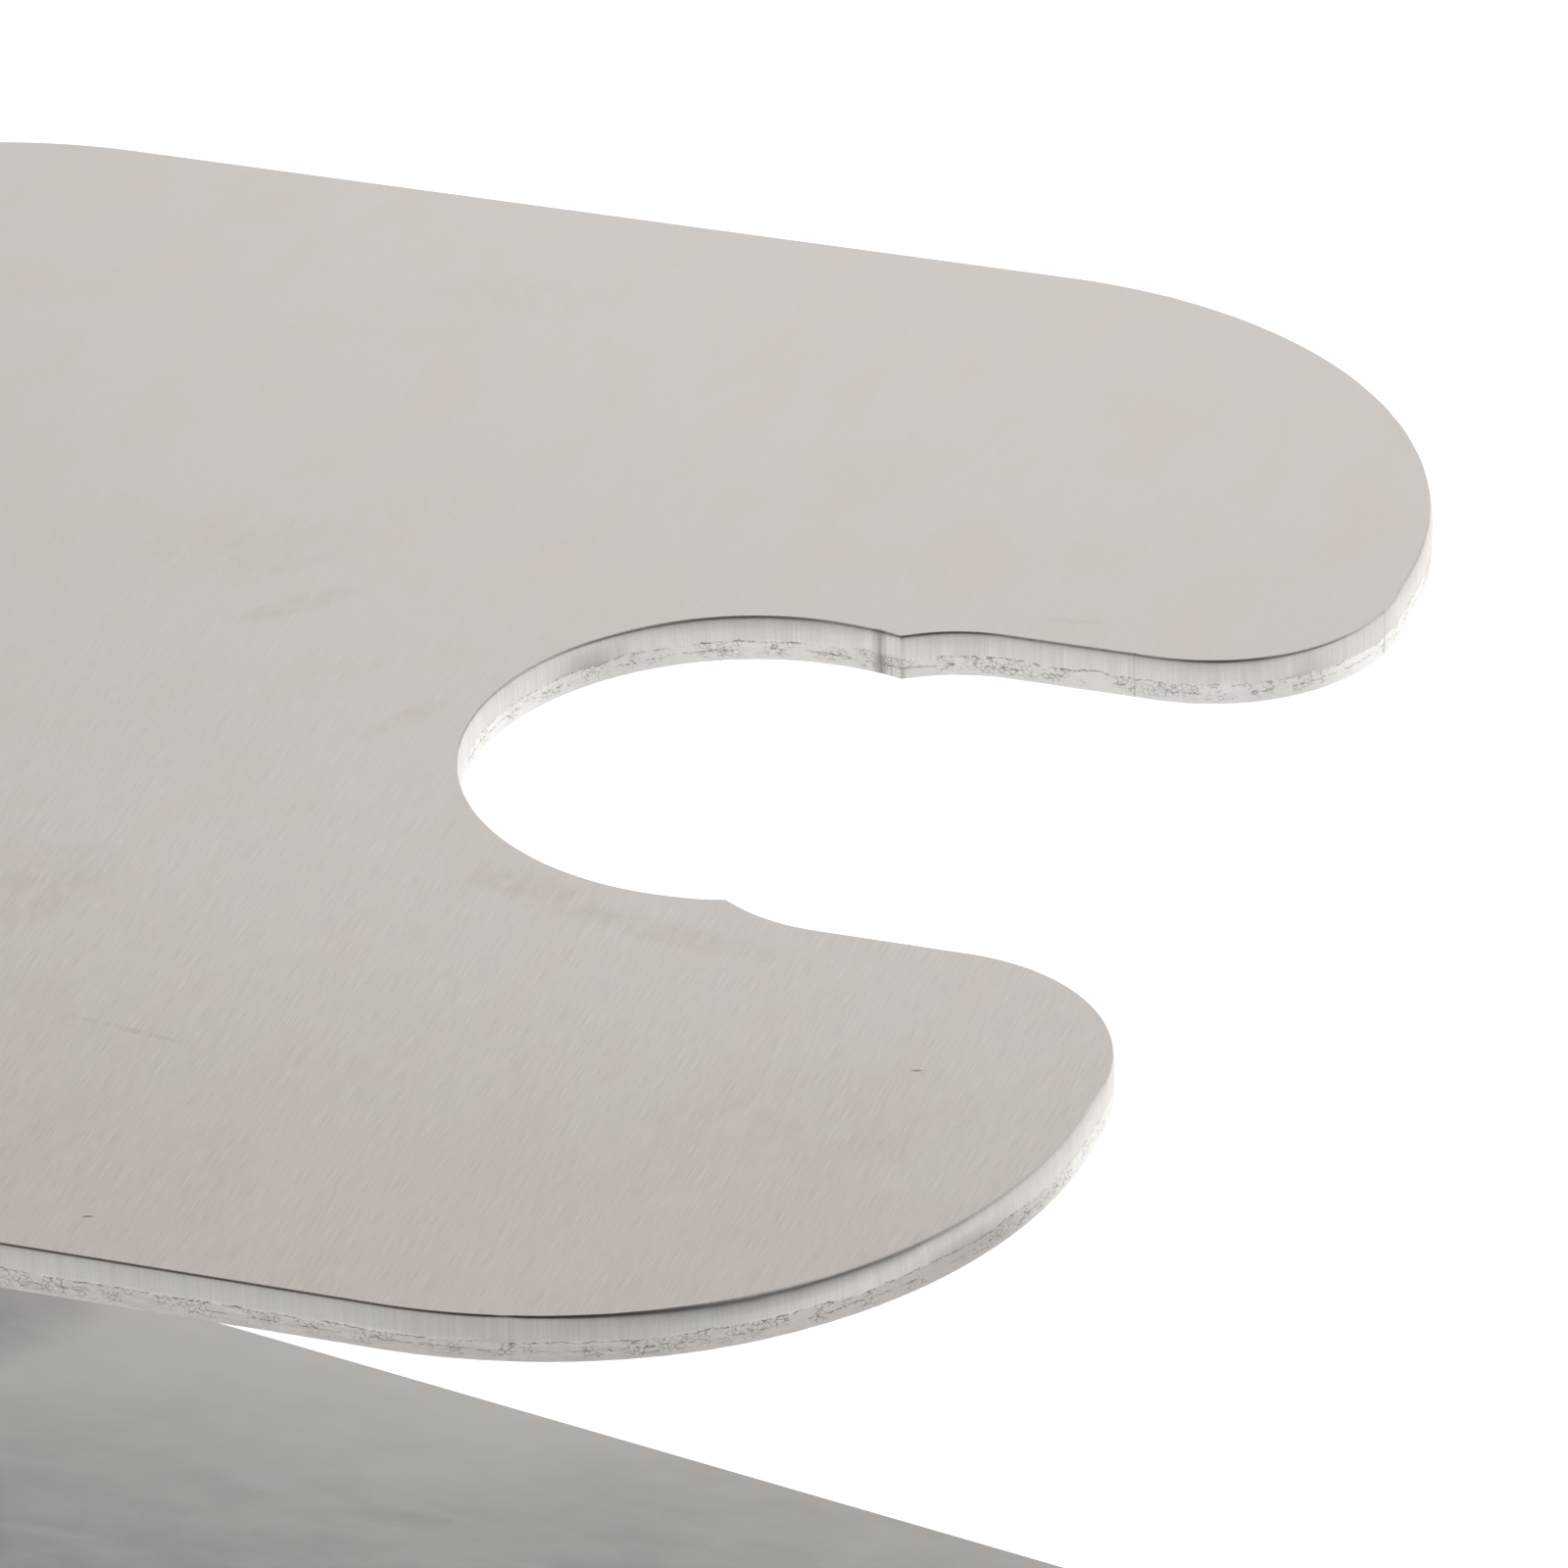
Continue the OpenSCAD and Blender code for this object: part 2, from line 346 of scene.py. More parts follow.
@dataclass(frozen=True)
class BrushedSheet:
    """Aluminium sheet brushed across the knife, with faint handling stain marks and painted shade
    towards its -Y side.

    Attributes:
        centre: the notch's centre, in millimetres, which the stain marks are placed from.
        colour: the clean metal.
        warm: the metal where it is a little warmer.
        stain: colour factor of a full stain.
        near_side_shade: colour factor of the painted shade that darkens and warms the sheet towards its
            -Y side.
        roughness: mean roughness.
        smudges: the stain marks.
        specks: dark pits, placed from the same point.
        pit: colour of the pits.
    """

    centre: tuple[float, float]
    colour: Colour = (0.607, 0.572, 0.541)
    warm: Colour = (0.606, 0.555, 0.518)
    stain: Colour = (0.80, 0.72, 0.66)
    near_side_shade: Colour = (0.925, 0.90, 0.89)
    roughness: float = 0.40
    smudges: tuple[StainAndShadePatch, ...] = (
        StainAndShadePatch((-23.5, -18.0), 5.5, 3.0, 60, 0.30),
        StainAndShadePatch((-21.5, 6.5), 3.6, 0.9, 45, 0.34),
        StainAndShadePatch((-14.0, -1.0), 2.6, 0.7, 60, 0.32),
        StainAndShadePatch((-4.5, -12.5), 4.5, 1.4, -18, 0.38),
        StainAndShadePatch((2.0, -14.2), 5.5, 1.1, -6, 0.34),
        StainAndShadePatch((11.5, -25.5), 8.0, 5.0, 20, 0.16),
        StainAndShadePatch((-16.0, -27.0), 2.8, 0.25, -8, 0.55),
        StainAndShadePatch((-25.0, 10.5), 7.0, 3.5, 30, 0.16),
        StainAndShadePatch((-22.0, 34.8), 6.0, 2.0, 10, 0.12),
        StainAndShadePatch((9.2, 14.2), 1.5, 0.25, 10, 0.5),
    )
    specks: tuple[tuple[float, float], ...] = ((14.05, -21.3), (-12.4, -40.3))
    pit: Colour = (0.16, 0.13, 0.12)

    def material(self) -> bpy.types.Material:
        """Builds the material.

        Returns:
            The material.
        """
        g = Surface("brushed_aluminium")
        hair = g.grain((15.0, 0.50, 0.4), 3.0, 0.70)
        streak = g.grain((3.4, 0.10, 0.1), 2.0)
        drift = g.grain((0.05, 0.035, 0.05), 2.0)
        cloud = g.grain((0.30, 0.14, 0.2), 3.0, 0.6)
        scratch = g.grain((8.0, 0.35, 0.3), 1.0).ramp(0.68, 0.76)
        cx, cy = self.centre
        worn = 0.35 + 0.75 * g.y.ramp(cy + 24.0, cy - 28.0)
        lines = ((hair - 0.5) * 0.43 + (streak - 0.5) * 0.05 + scratch * 0.05) * worn
        brightness = 0.985 + lines + (drift - 0.5) * 0.08
        colour = g.blend(self.colour, self.warm, cloud.ramp(0.46, 0.66) * 0.7)
        # Painted shade: the sheet is darkened and warmed towards its -Y side.
        side = g.y.ramp(cy - 10.0, cy - 38.0)
        colour = g.blend(colour, g.blend(colour, self.near_side_shade, 1.0, "MULTIPLY"), side)
        patchy = g.grain((1.1, 0.5, 0.5), 3.0, 0.65).ramp(0.32, 0.66)
        for mark in self.smudges:
            at = (cx + mark.at[0], cy + mark.at[1])
            mask = g.spot(at, mark.long, mark.wide, mark.turn) * patchy * mark.strength
            colour = g.blend(colour, g.blend(colour, self.stain, 1.0, "MULTIPLY"), mask)
        for speck in self.specks:
            mask = g.spot((cx + speck[0], cy + speck[1]), 0.28, 0.10, 20) * 0.7
            colour = g.blend(colour, self.pit, mask)
        rough = self.roughness + (hair - 0.5) * 0.10 + (drift - 0.5) * 0.06
        height = hair * 0.75 + streak * 0.25
        return g.finish(
            Base_Color=g.shade(colour, brightness),
            Metallic=1.0,
            Roughness=rough,
            Normal=g.relief(height, 0.008),
        )


@dataclass(frozen=True)
class Witness:
    """A line left down a cut edge where two punches meet.

    Attributes:
        at: its place, in millimetres, seen from above.
        width: how far it reaches along the edge.
        depth: how deep the groove is.
        dark: how far it darkens the edge.
    """

    at: tuple[float, float]
    width: float
    depth: float
    dark: float

    def snapped(self, outline: Sequence[Vector], notch_x: float) -> "Witness":
        """Moves a mark that was placed from the notch's centre onto the outline.

        Args:
            outline: the outline's points, in millimetres.
            notch_x: where the notch's centre lies.

        Returns:
            The mark in the knife's own frame.
        """
        wanted = Vector((notch_x + self.at[0], self.at[1]))
        near = min(outline, key=lambda point: (point.xy - wanted).length)
        return Witness((near.x, near.y), self.width, self.depth, self.dark)


@dataclass(frozen=True)
class PunchedEdge:
    """Cut edge of punched sheet: rolled rim, burnished land, then broken metal.

    Attributes:
        top: height of the sheet's upper face, in millimetres.
        thickness: the sheet's thickness.
        marks: lines where punches met, on one half and repeated on the other.
        notch_x: where the notch's centre lies.
        colour: the burnished land.
        broken: the broken part.
        notch_broken_painted_light: the broken part inside the notch, painted lighter to make up for the
            shade that falls there.
        crack: colour of dirt in the cracks.
        rim_shade: colour factor of the painted shade in the line under the rim.
        inside: half the width within which the edge is the notch's; there the rim's painted shade is
            weaker and the broken part is painted lighter.
    """

    top: float
    thickness: float
    marks: Sequence[Witness]
    notch_x: float
    colour: Colour = (0.672, 0.640, 0.612)
    broken: Colour = (0.668, 0.636, 0.608)
    notch_broken_painted_light: Colour = (0.97, 0.935, 0.905)
    crack: Colour = (0.22, 0.19, 0.18)
    rim_shade: Colour = (0.54, 0.46, 0.46)
    inside: float = 22.0

    def _cracks(self, g: Surface, depth: Signal) -> tuple[Signal, Signal]:
        """Works out the broken part.

        Args:
            g: the material.
            depth: share of the thickness below the upper face.

        Returns:
            Where the metal broke, and the cracks in it.
        """
        slow = g.grain((0.5, 0.5, 0.05), 1.0)
        jagged = g.grain((4.5, 4.5, 1.2), 4.0, 0.65)
        upper = depth + (slow - 0.5) * 0.16 + (jagged - 0.5) * 0.16
        lower = depth - (slow - 0.5) * 0.10 + (jagged - 0.5) * 0.14
        some = g.grain((1.1, 1.1, 0.9), 2.0)
        broken = upper.ramp(0.53, 0.60)
        first = abs(upper - 0.57).ramp(0.022, 0.006) * some.ramp(0.42, 0.54)
        second = abs(lower - 0.76).ramp(0.022, 0.006) * some.ramp(0.58, 0.46)
        cells = g.cracks((4.2, 4.2, 5.2)).ramp(0.10, 0.03)
        patches = g.grain((0.8, 0.8, 0.7), 2.0, 0.6).ramp(0.44, 0.56)
        band = upper.ramp(0.54, 0.58) * lower.ramp(0.96, 0.86)
        faint = g.grain((5.0, 5.0, 5.0), 3.0, 0.6).ramp(0.34, 0.60)
        return broken, (first * 0.66 + second * 0.6 + cells * patches * band * 0.62) * faint

    def material(self) -> bpy.types.Material:
        """Builds the material.

        Returns:
            The material.
        """
        g = Surface("punched_edge")
        depth = (self.top - g.z) / self.thickness
        broken, cracks = self._cracks(g, depth)
        comb = g.grain((10.0, 10.0, 0.16), 3.0, 0.7)
        comb_wide = g.grain((2.4, 2.4, 0.12), 2.0)
        crumble = g.grain((8.0, 8.0, 8.0), 4.0, 0.7)
        land = 1 - broken
        rim = depth.ramp(0.070, 0.030) * depth.ramp(0.003, 0.012)
        tone = 1 - (comb - 0.5) * land * 0.30 - (comb_wide - 0.5) * 0.12 - (crumble - 0.5) * 0.12
        # Painted shade: the edge is darkened a little towards the rim.
        tone = tone * (1 - depth.ramp(0.40, 0.04) * 0.04)
        # Inside the notch the edge is painted lighter to make up for the shade there: the broken part
        # takes the lighter colour, the tone is raised, and the rim's painted shade and the cracks are
        # weakened.
        inner = abs(g.y).ramp(self.inside + 8, self.inside)
        colour = g.blend(self.colour, g.blend(self.broken, self.notch_broken_painted_light, inner), broken)
        colour = g.shade(colour, tone * (1 + inner * 0.06))
        # Painted shade in the line under the rim, weaker inside the notch and towards the plate's front.
        front = (g.x - self.notch_x).ramp(5.0, 15.0)
        rim_shade_mask = rim * (1 - inner * 0.8) * (1 - front * 0.75)
        colour = g.blend(colour, g.blend(colour, self.rim_shade, 1.0, "MULTIPLY"), rim_shade_mask)
        specks = crumble.ramp(0.69, 0.76) * broken * 0.5
        colour = g.blend(colour, self.crack, (cracks + specks) * (1 - inner * 0.25))
        marks = 0.0
        for mark in self.marks:
            off = abs(g.x - mark.at[0]) + abs(abs(g.y) - abs(mark.at[1]))
            marks = marks + off.ramp(mark.width, mark.width * 0.2) * mark.dark
        colour = g.blend(colour, self.crack, marks * (0.75 + (comb - 0.5)))
        rough = 0.30 + broken * 0.20 + (comb - 0.5) * 0.14
        height = comb * land * 0.5 + crumble * broken * 0.7 - cracks * 0.9
        return g.finish(
            Base_Color=colour,
            Metallic=1.0,
            Roughness=rough,
            Normal=g.relief(height, 0.015),
        )


@dataclass(frozen=True)
class SatinSteel:
    """Steel with a soft directional finish.

    Attributes:
        name: the material's name.
        colour: the clean metal.
        roughness: mean roughness.
        per_mm: rate of the grinding lines along X, Y and Z.
        line_depth: depth of the lines, in millimetres.
        contrast: how far the lines change the brightness.
        cloud: how far slow stains change it.
    """

    name: str
    colour: Colour
    roughness: float
    per_mm: tuple[float, float, float]
    line_depth: float = 0.006
    contrast: float = 0.08
    cloud: float = 0.06

    def material(self) -> bpy.types.Material:
        """Builds the material.

        Returns:
            The material.
        """
        g = Surface(self.name)
        lines = g.grain(self.per_mm, 3.0, 0.6)
        slow = g.grain((0.07, 0.07, 0.09), 3.0, 0.55)
        pits = g.grain((0.9, 0.9, 0.9), 2.0, 0.6).ramp(0.70, 0.80)
        brightness = 1 + (lines - 0.5) * self.contrast + (slow - 0.5) * self.cloud - pits * 0.05
        rough = self.roughness + (lines - 0.5) * 0.10 + (slow - 0.5) * 0.10
        return g.finish(
            Base_Color=g.shade(self.colour, brightness),
            Metallic=1.0,
            Roughness=rough,
            Normal=g.relief(lines, self.line_depth),
        )


@dataclass(frozen=True)
class GroundBlade:
    """Spring steel ground along the blade, cloudy, with painted shade under the palm plate and by the
    neck, and darker patches.

    Attributes:
        heel: middle of the blade's heel, in millimetres, which the painted shade and the patches are
            placed from.
        colour: the clean metal.
        shade_and_patch_factor: colour factor of the full painted shade and of a full darker patch.
        roughness: mean roughness.
        painted_shade_and_patches: the painted shade under the palm plate and by the neck, then the
            darker patches, placed from the heel.
        light_streaks: small lighter streaks, placed from the heel.
        streak_colour: colour of those.
    """

    heel: tuple[float, float]
    colour: Colour = (0.464, 0.442, 0.424)
    shade_and_patch_factor: Colour = (0.60, 0.605, 0.60)
    roughness: float = 0.42
    painted_shade_and_patches: tuple[StainAndShadePatch, ...] = (
        StainAndShadePatch((22.0, 0.0), 70.0, 44.0, 0, 0.85),
        StainAndShadePatch((10.5, 39.5), 9.0, 6.5, 40, 0.75),
        StainAndShadePatch((36.5, 28.8), 3.0, 0.9, 5, 0.25),
        StainAndShadePatch((48.0, 27.0), 6.0, 1.6, -8, 0.20),
        StainAndShadePatch((57.0, 32.0), 22.0, 12.0, 0, 0.36),
        StainAndShadePatch((70.0, -18.0), 14.0, 5.0, 12, 0.25),
    )
    light_streaks: tuple[StainAndShadePatch, ...] = (
        StainAndShadePatch((21.0, 23.2), 3.6, 0.5, 3, 0.14),
        StainAndShadePatch((29.5, 30.0), 2.0, 1.2, 0, 0.11),
    )
    streak_colour: Colour = (0.55, 0.53, 0.52)

    def material(self) -> bpy.types.Material:
        """Builds the material.

        Returns:
            The material.
        """
        g = Surface("ground_spring_steel")
        lines = g.grain((0.30, 8.0, 0.3), 3.0, 0.6)
        slow = g.grain((0.05, 0.09, 0.05), 3.0, 0.55)
        mottle = g.grain((0.30, 0.65, 0.3), 4.0, 0.62)
        pits = g.grain((1.4, 1.4, 1.4), 3.0, 0.6).ramp(0.70, 0.80)
        brightness = 1 + (lines - 0.5) * 0.07 + (slow - 0.5) * 0.10 + (mottle - 0.5) * 0.10
        brightness = brightness - pits * 0.06
        hx, hy = self.heel
        colour = g.shade(self.colour, brightness)
        # Painted shade under the palm plate and by the neck, then darker patches, all mottled.
        for mark in self.painted_shade_and_patches:
            mask = g.spot((hx + mark.at[0], hy + mark.at[1]), mark.long, mark.wide, mark.turn)
            darkened = g.blend(colour, self.shade_and_patch_factor, 1.0, "MULTIPLY")
            colour = g.blend(colour, darkened, mask * mark.strength * (0.6 + mottle * 0.8))
        # Small lighter streaks on the blade's face.
        for mark in self.light_streaks:
            mask = g.spot((hx + mark.at[0], hy + mark.at[1]), mark.long, mark.wide, mark.turn)
            colour = g.blend(colour, self.streak_colour, mask * mark.strength)
        rough = self.roughness + (lines - 0.5) * 0.08 + (mottle - 0.5) * 0.12
        height = lines * 0.6 + mottle * 0.4
        return g.finish(
            Base_Color=colour, Metallic=1.0, Roughness=rough, Normal=g.relief(height, 0.006)
        )


@dataclass(frozen=True)
class BrightZinc:
    """Zinc plate on small hardware, with a faint cool haze.

    Attributes:
        colour: the plating.
        haze: the plating where it is dull.
    """

    colour: Colour = (0.60, 0.61, 0.62)
    haze: Colour = (0.48, 0.49, 0.52)

    def material(self) -> bpy.types.Material:
        """Builds the material.

        Returns:
            The material.
        """
        g = Surface("bright_zinc")
        cloud = g.grain((0.8, 0.8, 0.8), 3.0, 0.6)
        spangle = g.grain((7.0, 7.0, 7.0), 2.0, 0.5)
        colour = g.blend(self.colour, self.haze, cloud.ramp(0.4, 0.7))
        rough = 0.26 + (cloud - 0.5) * 0.2 + (spangle - 0.5) * 0.1
        return g.finish(
            Base_Color=colour, Metallic=1.0, Roughness=rough, Normal=g.relief(spangle, 0.004)
        )


# ---------------------------------------------------------------- mesh tools


class Pen:
    """Draws an outline, one stretch at a time, from a single vertex."""

    def __init__(self, mesh: bmesh.types.BMesh, start: Vector, pitch: float) -> None:
        """Puts the pen down.

        Args:
            mesh: the mesh that is drawn in.
            start: first point.
            pitch: greatest length of one edge.
        """
        self.mesh = mesh
        self.pitch = pitch
        self.tip = mesh.verts.new(start)

    def line(self, to: Vector) -> "Pen":
        """Draws a straight stretch.

        Args:
            to: its end.

        Returns:
            The pen.
        """
        run = to - self.tip.co
        steps = max(1, math.ceil(run.length / self.pitch))
        for _ in range(steps):
            made = bmesh.ops.extrude_vert_indiv(self.mesh, verts=[self.tip])
            self.tip = made["verts"][0]
            bmesh.ops.translate(self.mesh, verts=[self.tip], vec=run / steps)
        return self

    def arc(self, centre: Vector, degrees: float, axis: Vector = Z_AXIS) -> "Pen":
        """Draws a round stretch.

        Args:
            centre: its centre.
            degrees: how far it turns, by the right-hand rule.
            axis: what it turns about.

        Returns:
            The pen.
        """
        turn = math.radians(degrees)
        reach = (self.tip.co - centre).length * abs(turn)
        made = bmesh.ops.spin(
            self.mesh,
            geom=[self.tip],
            cent=centre,
            axis=axis,
            dvec=Vector(),
            angle=turn,
            space=Matrix.Identity(4),
            steps=max(2, math.ceil(reach / self.pitch)),
            use_merge=False,
            use_normal_flip=False,
            use_duplicate=False,
        )
        self.tip = next(v for v in made["geom_last"] if isinstance(v, bmesh.types.BMVert))
        return self


def close_outline(mesh: bmesh.types.BMesh, mirror_y: bool) -> bmesh.types.BMFace:
    """Mirrors a drawn half if asked, welds the outline and fills it.

    Args:
        mesh: the mesh that holds the outline.
        mirror_y: whether it is half an outline that ends on the XZ plane.

    Returns:
        The filled face.
    """
    if mirror_y:
        geometry = mesh.verts[:] + mesh.edges[:]
        bmesh.ops.mirror(mesh, geom=geometry, matrix=Matrix.Identity(4), merge_dist=WELD, axis="Y")
    bmesh.ops.remove_doubles(mesh, verts=mesh.verts[:], dist=WELD)
    return bmesh.ops.contextual_create(mesh, geom=mesh.edges[:])["faces"][0]


def extrude(mesh: bmesh.types.BMesh, face: bmesh.types.BMFace, by: Vector) -> None:
    """Makes a closed prism of a face.

    Args:
        mesh: the mesh.
        face: the face, which stays as one end.
        by: the way to the other end.
    """
    made = bmesh.ops.extrude_face_region(mesh, geom=[face], use_keep_orig=True)
    far = [v for v in made["geom"] if isinstance(v, bmesh.types.BMVert)]
    bmesh.ops.translate(mesh, verts=far, vec=by)
    bmesh.ops.recalc_face_normals(mesh, faces=mesh.faces[:])


def slice_at(mesh: bmesh.types.BMesh, points: Iterable[Vector], normal: Vector) -> None:
    """Adds an edge loop where a plane through each point crosses the mesh.

    Args:
        mesh: the mesh.
        points: one point for each plane.
        normal: the planes' common normal.
    """
    for point in points:
        geometry = mesh.verts[:] + mesh.edges[:] + mesh.faces[:]
        bmesh.ops.bisect_plane(mesh, geom=geometry, dist=WELD, plane_co=point, plane_no=normal)


def ease(
    mesh: bmesh.types.BMesh,
    wanted: Callable[[bmesh.types.BMEdge], bool],
    radius: float,
    segments: int = 3,
) -> None:
    """Rounds the edges that a test picks.

    Args:
        mesh: the mesh.
        wanted: the test.
        radius: the rounding's radius, in metres.
        segments: faces across the rounding.
    """
    edges = [e for e in mesh.edges if len(e.link_faces) == 2 and wanted(e)]
    bmesh.ops.bevel(
        mesh,
        geom=edges,
        offset=radius,
        offset_type="OFFSET",
        affect="EDGES",
        segments=segments,
        profile=0.5,
        material=-1,
        clamp_overlap=True,
    )


def sharper_than(degrees: float) -> Callable[[bmesh.types.BMEdge], bool]:
    """A test for edges that turn by more than an angle.

    Args:
        degrees: the angle.

    Returns:
        The test.
    """
    limit = math.radians(degrees)
    return lambda edge: edge.calc_face_angle(0.0) > limit


def lathe(profile: Sequence[tuple[float, float]], steps: int = 48) -> bmesh.types.BMesh:
    """Turns a profile about Z.

    Args:
        profile: radius and height of each point in millimetres, from the axis or bore round
            to its end.
        steps: faces round the axis.

    Returns:
        A closed mesh.
    """
    mesh = bmesh.new()
    pen = Pen(mesh, Vector((profile[0][0] * MM, 0, profile[0][1] * MM)), 1.0)
    for radius, height in profile[1:]:
        pen.line(Vector((radius * MM, 0, height * MM)))
    bmesh.ops.spin(
        mesh,
        geom=mesh.verts[:] + mesh.edges[:],
        cent=Vector(),
        axis=Z_AXIS,
        dvec=Vector(),
        angle=math.tau,
        space=Matrix.Identity(4),
        steps=steps,
        use_merge=True,
        use_normal_flip=False,
        use_duplicate=False,
    )
    bmesh.ops.remove_doubles(mesh, verts=mesh.verts[:], dist=WELD)
    bmesh.ops.recalc_face_normals(mesh, faces=mesh.faces[:])
    return mesh


def prism(sides: int, radius: float, low: float, high: float) -> bmesh.types.BMesh:
    """Upright prism on a regular base.

    Args:
        sides: number of sides.
        radius: radius to its corners, in millimetres.
        low: lower face's height.
        high: upper face's height.

    Returns:
        A closed mesh.
    """
    mesh = bmesh.new()
    bmesh.ops.create_circle(mesh, cap_ends=True, segments=sides, radius=radius * MM)
    bmesh.ops.translate(mesh, verts=mesh.verts[:], vec=Z_AXIS * low * MM)
    extrude(mesh, mesh.faces[:][0], Z_AXIS * (high - low) * MM)
    return mesh


def scatter(mesh: bmesh.types.BMesh, places: Sequence[Vector], turn: float = 0.0) -> None:
    """Repeats a mesh at several places, each turned further about its own axis.

    Args:
        mesh: one copy at the origin.
        places: where the copies go, in metres.
        turn: degrees from one copy to the next.
    """
    first = mesh.verts[:] + mesh.edges[:] + mesh.faces[:]
    copies = [bmesh.ops.duplicate(mesh, geom=first)["geom"] for _ in places[1:]]
    for number, (geometry, place) in enumerate(zip([first, *copies], places)):
        verts = [v for v in geometry if isinstance(v, bmesh.types.BMVert)]
        spin = Matrix.Rotation(math.radians(turn * number), 3, "Z")
        bmesh.ops.rotate(mesh, verts=verts, cent=Vector(), matrix=spin)
        bmesh.ops.translate(mesh, verts=verts, vec=place)


def to_object(mesh: bmesh.types.BMesh, name: str) -> bpy.types.Object:
    """Moves a bmesh into a linked object.

    Args:
        mesh: the bmesh, which is freed.
        name: the object's name.

    Returns:
        The object.
    """
    data = bpy.data.meshes.new(name)
    mesh.to_mesh(data)
    mesh.free()
    made = bpy.data.objects.new(name, data)
    bpy.context.scene.collection.objects.link(made)
    return made


def carve(target: bpy.types.Object, tool_mesh: bmesh.types.BMesh, cut: Cut = Cut.DRILL) -> None:
    """Cuts a piece with a tool and keeps the result as its mesh.

    Args:
        target: the piece.
        tool_mesh: the tool, which is used up.
        cut: what the tool does.
    """
    tool = to_object(tool_mesh, "tool")
    modifier = target.modifiers.new("cut", "BOOLEAN")
    modifier.operation = cut.value
    modifier.solver = "EXACT"
    modifier.use_self = False
    modifier.object = tool
    graph = bpy.context.evaluated_depsgraph_get()
    made = bpy.data.meshes.new_from_object(target.evaluated_get(graph))
    old = target.data
    target.modifiers.clear()
    target.data = made
    bpy.data.meshes.remove(old)
    bpy.data.objects.remove(tool)


def place_piece(
    piece: bpy.types.Object,
    node: str,
    materials: Sequence[bpy.types.Material],
    crease: float = 22.0,
    face_slot: Callable[[bmesh.types.BMFace], int] | None = None,
) -> None:
    """Shades a piece, gives it its finish and lets it stand for its CAD node.

    Args:
        piece: the piece.
        node: the CAD node's name.
        materials: its materials, in slot order.
        crease: angle in degrees past which an edge is shaded sharp.
        face_slot: picks the slot of a face, or None for the first one.
    """
    mesh = bmesh.new()
    mesh.from_mesh(piece.data)
    bmesh.ops.remove_doubles(mesh, verts=mesh.verts[:], dist=WELD)
    piece.data.materials.clear()
    for material in materials:
        piece.data.materials.append(material)
    is_sharp = sharper_than(crease)
    for face in mesh.faces:
        face.smooth = True
        face.material_index = face_slot(face) if face_slot else 0
    for edge in mesh.edges:
        finishes = {face.material_index for face in edge.link_faces}
        edge.smooth = len(finishes) == 1 and not is_sharp(edge)
    mesh.to_mesh(piece.data)
    mesh.free()
    piece.name = f"{node}_look"
    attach(piece, BODY)
    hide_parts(node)
    LOG.info("%s: %d faces", piece.name, len(piece.data.polygons))


@dataclass(frozen=True)
class Span:
    """A CAD node's box in millimetres.

    Attributes:
        low: lowest corner.
        high: highest corner.
    """

    low: Vector
    high: Vector

    @classmethod
    def of(cls, node: str) -> "Span":
        """The box of a node.

        Args:
            node: its name.

        Returns:
            The box.
        """
        low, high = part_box(node)
        return cls(low / MM, high / MM)

    @property
    def size(self) -> Vector:
        """The box's three sides."""
        return self.high - self.low


def mm(x: float, y: float, z: float) -> Vector:
    """A point given in millimetres, in metres.

    Args:
        x: along the knife, towards the tip.
        y: across it.
        z: upwards.

    Returns:
        The point.
    """
    return Vector((x, y, z)) * MM


# ---------------------------------------------------------------- palm plate


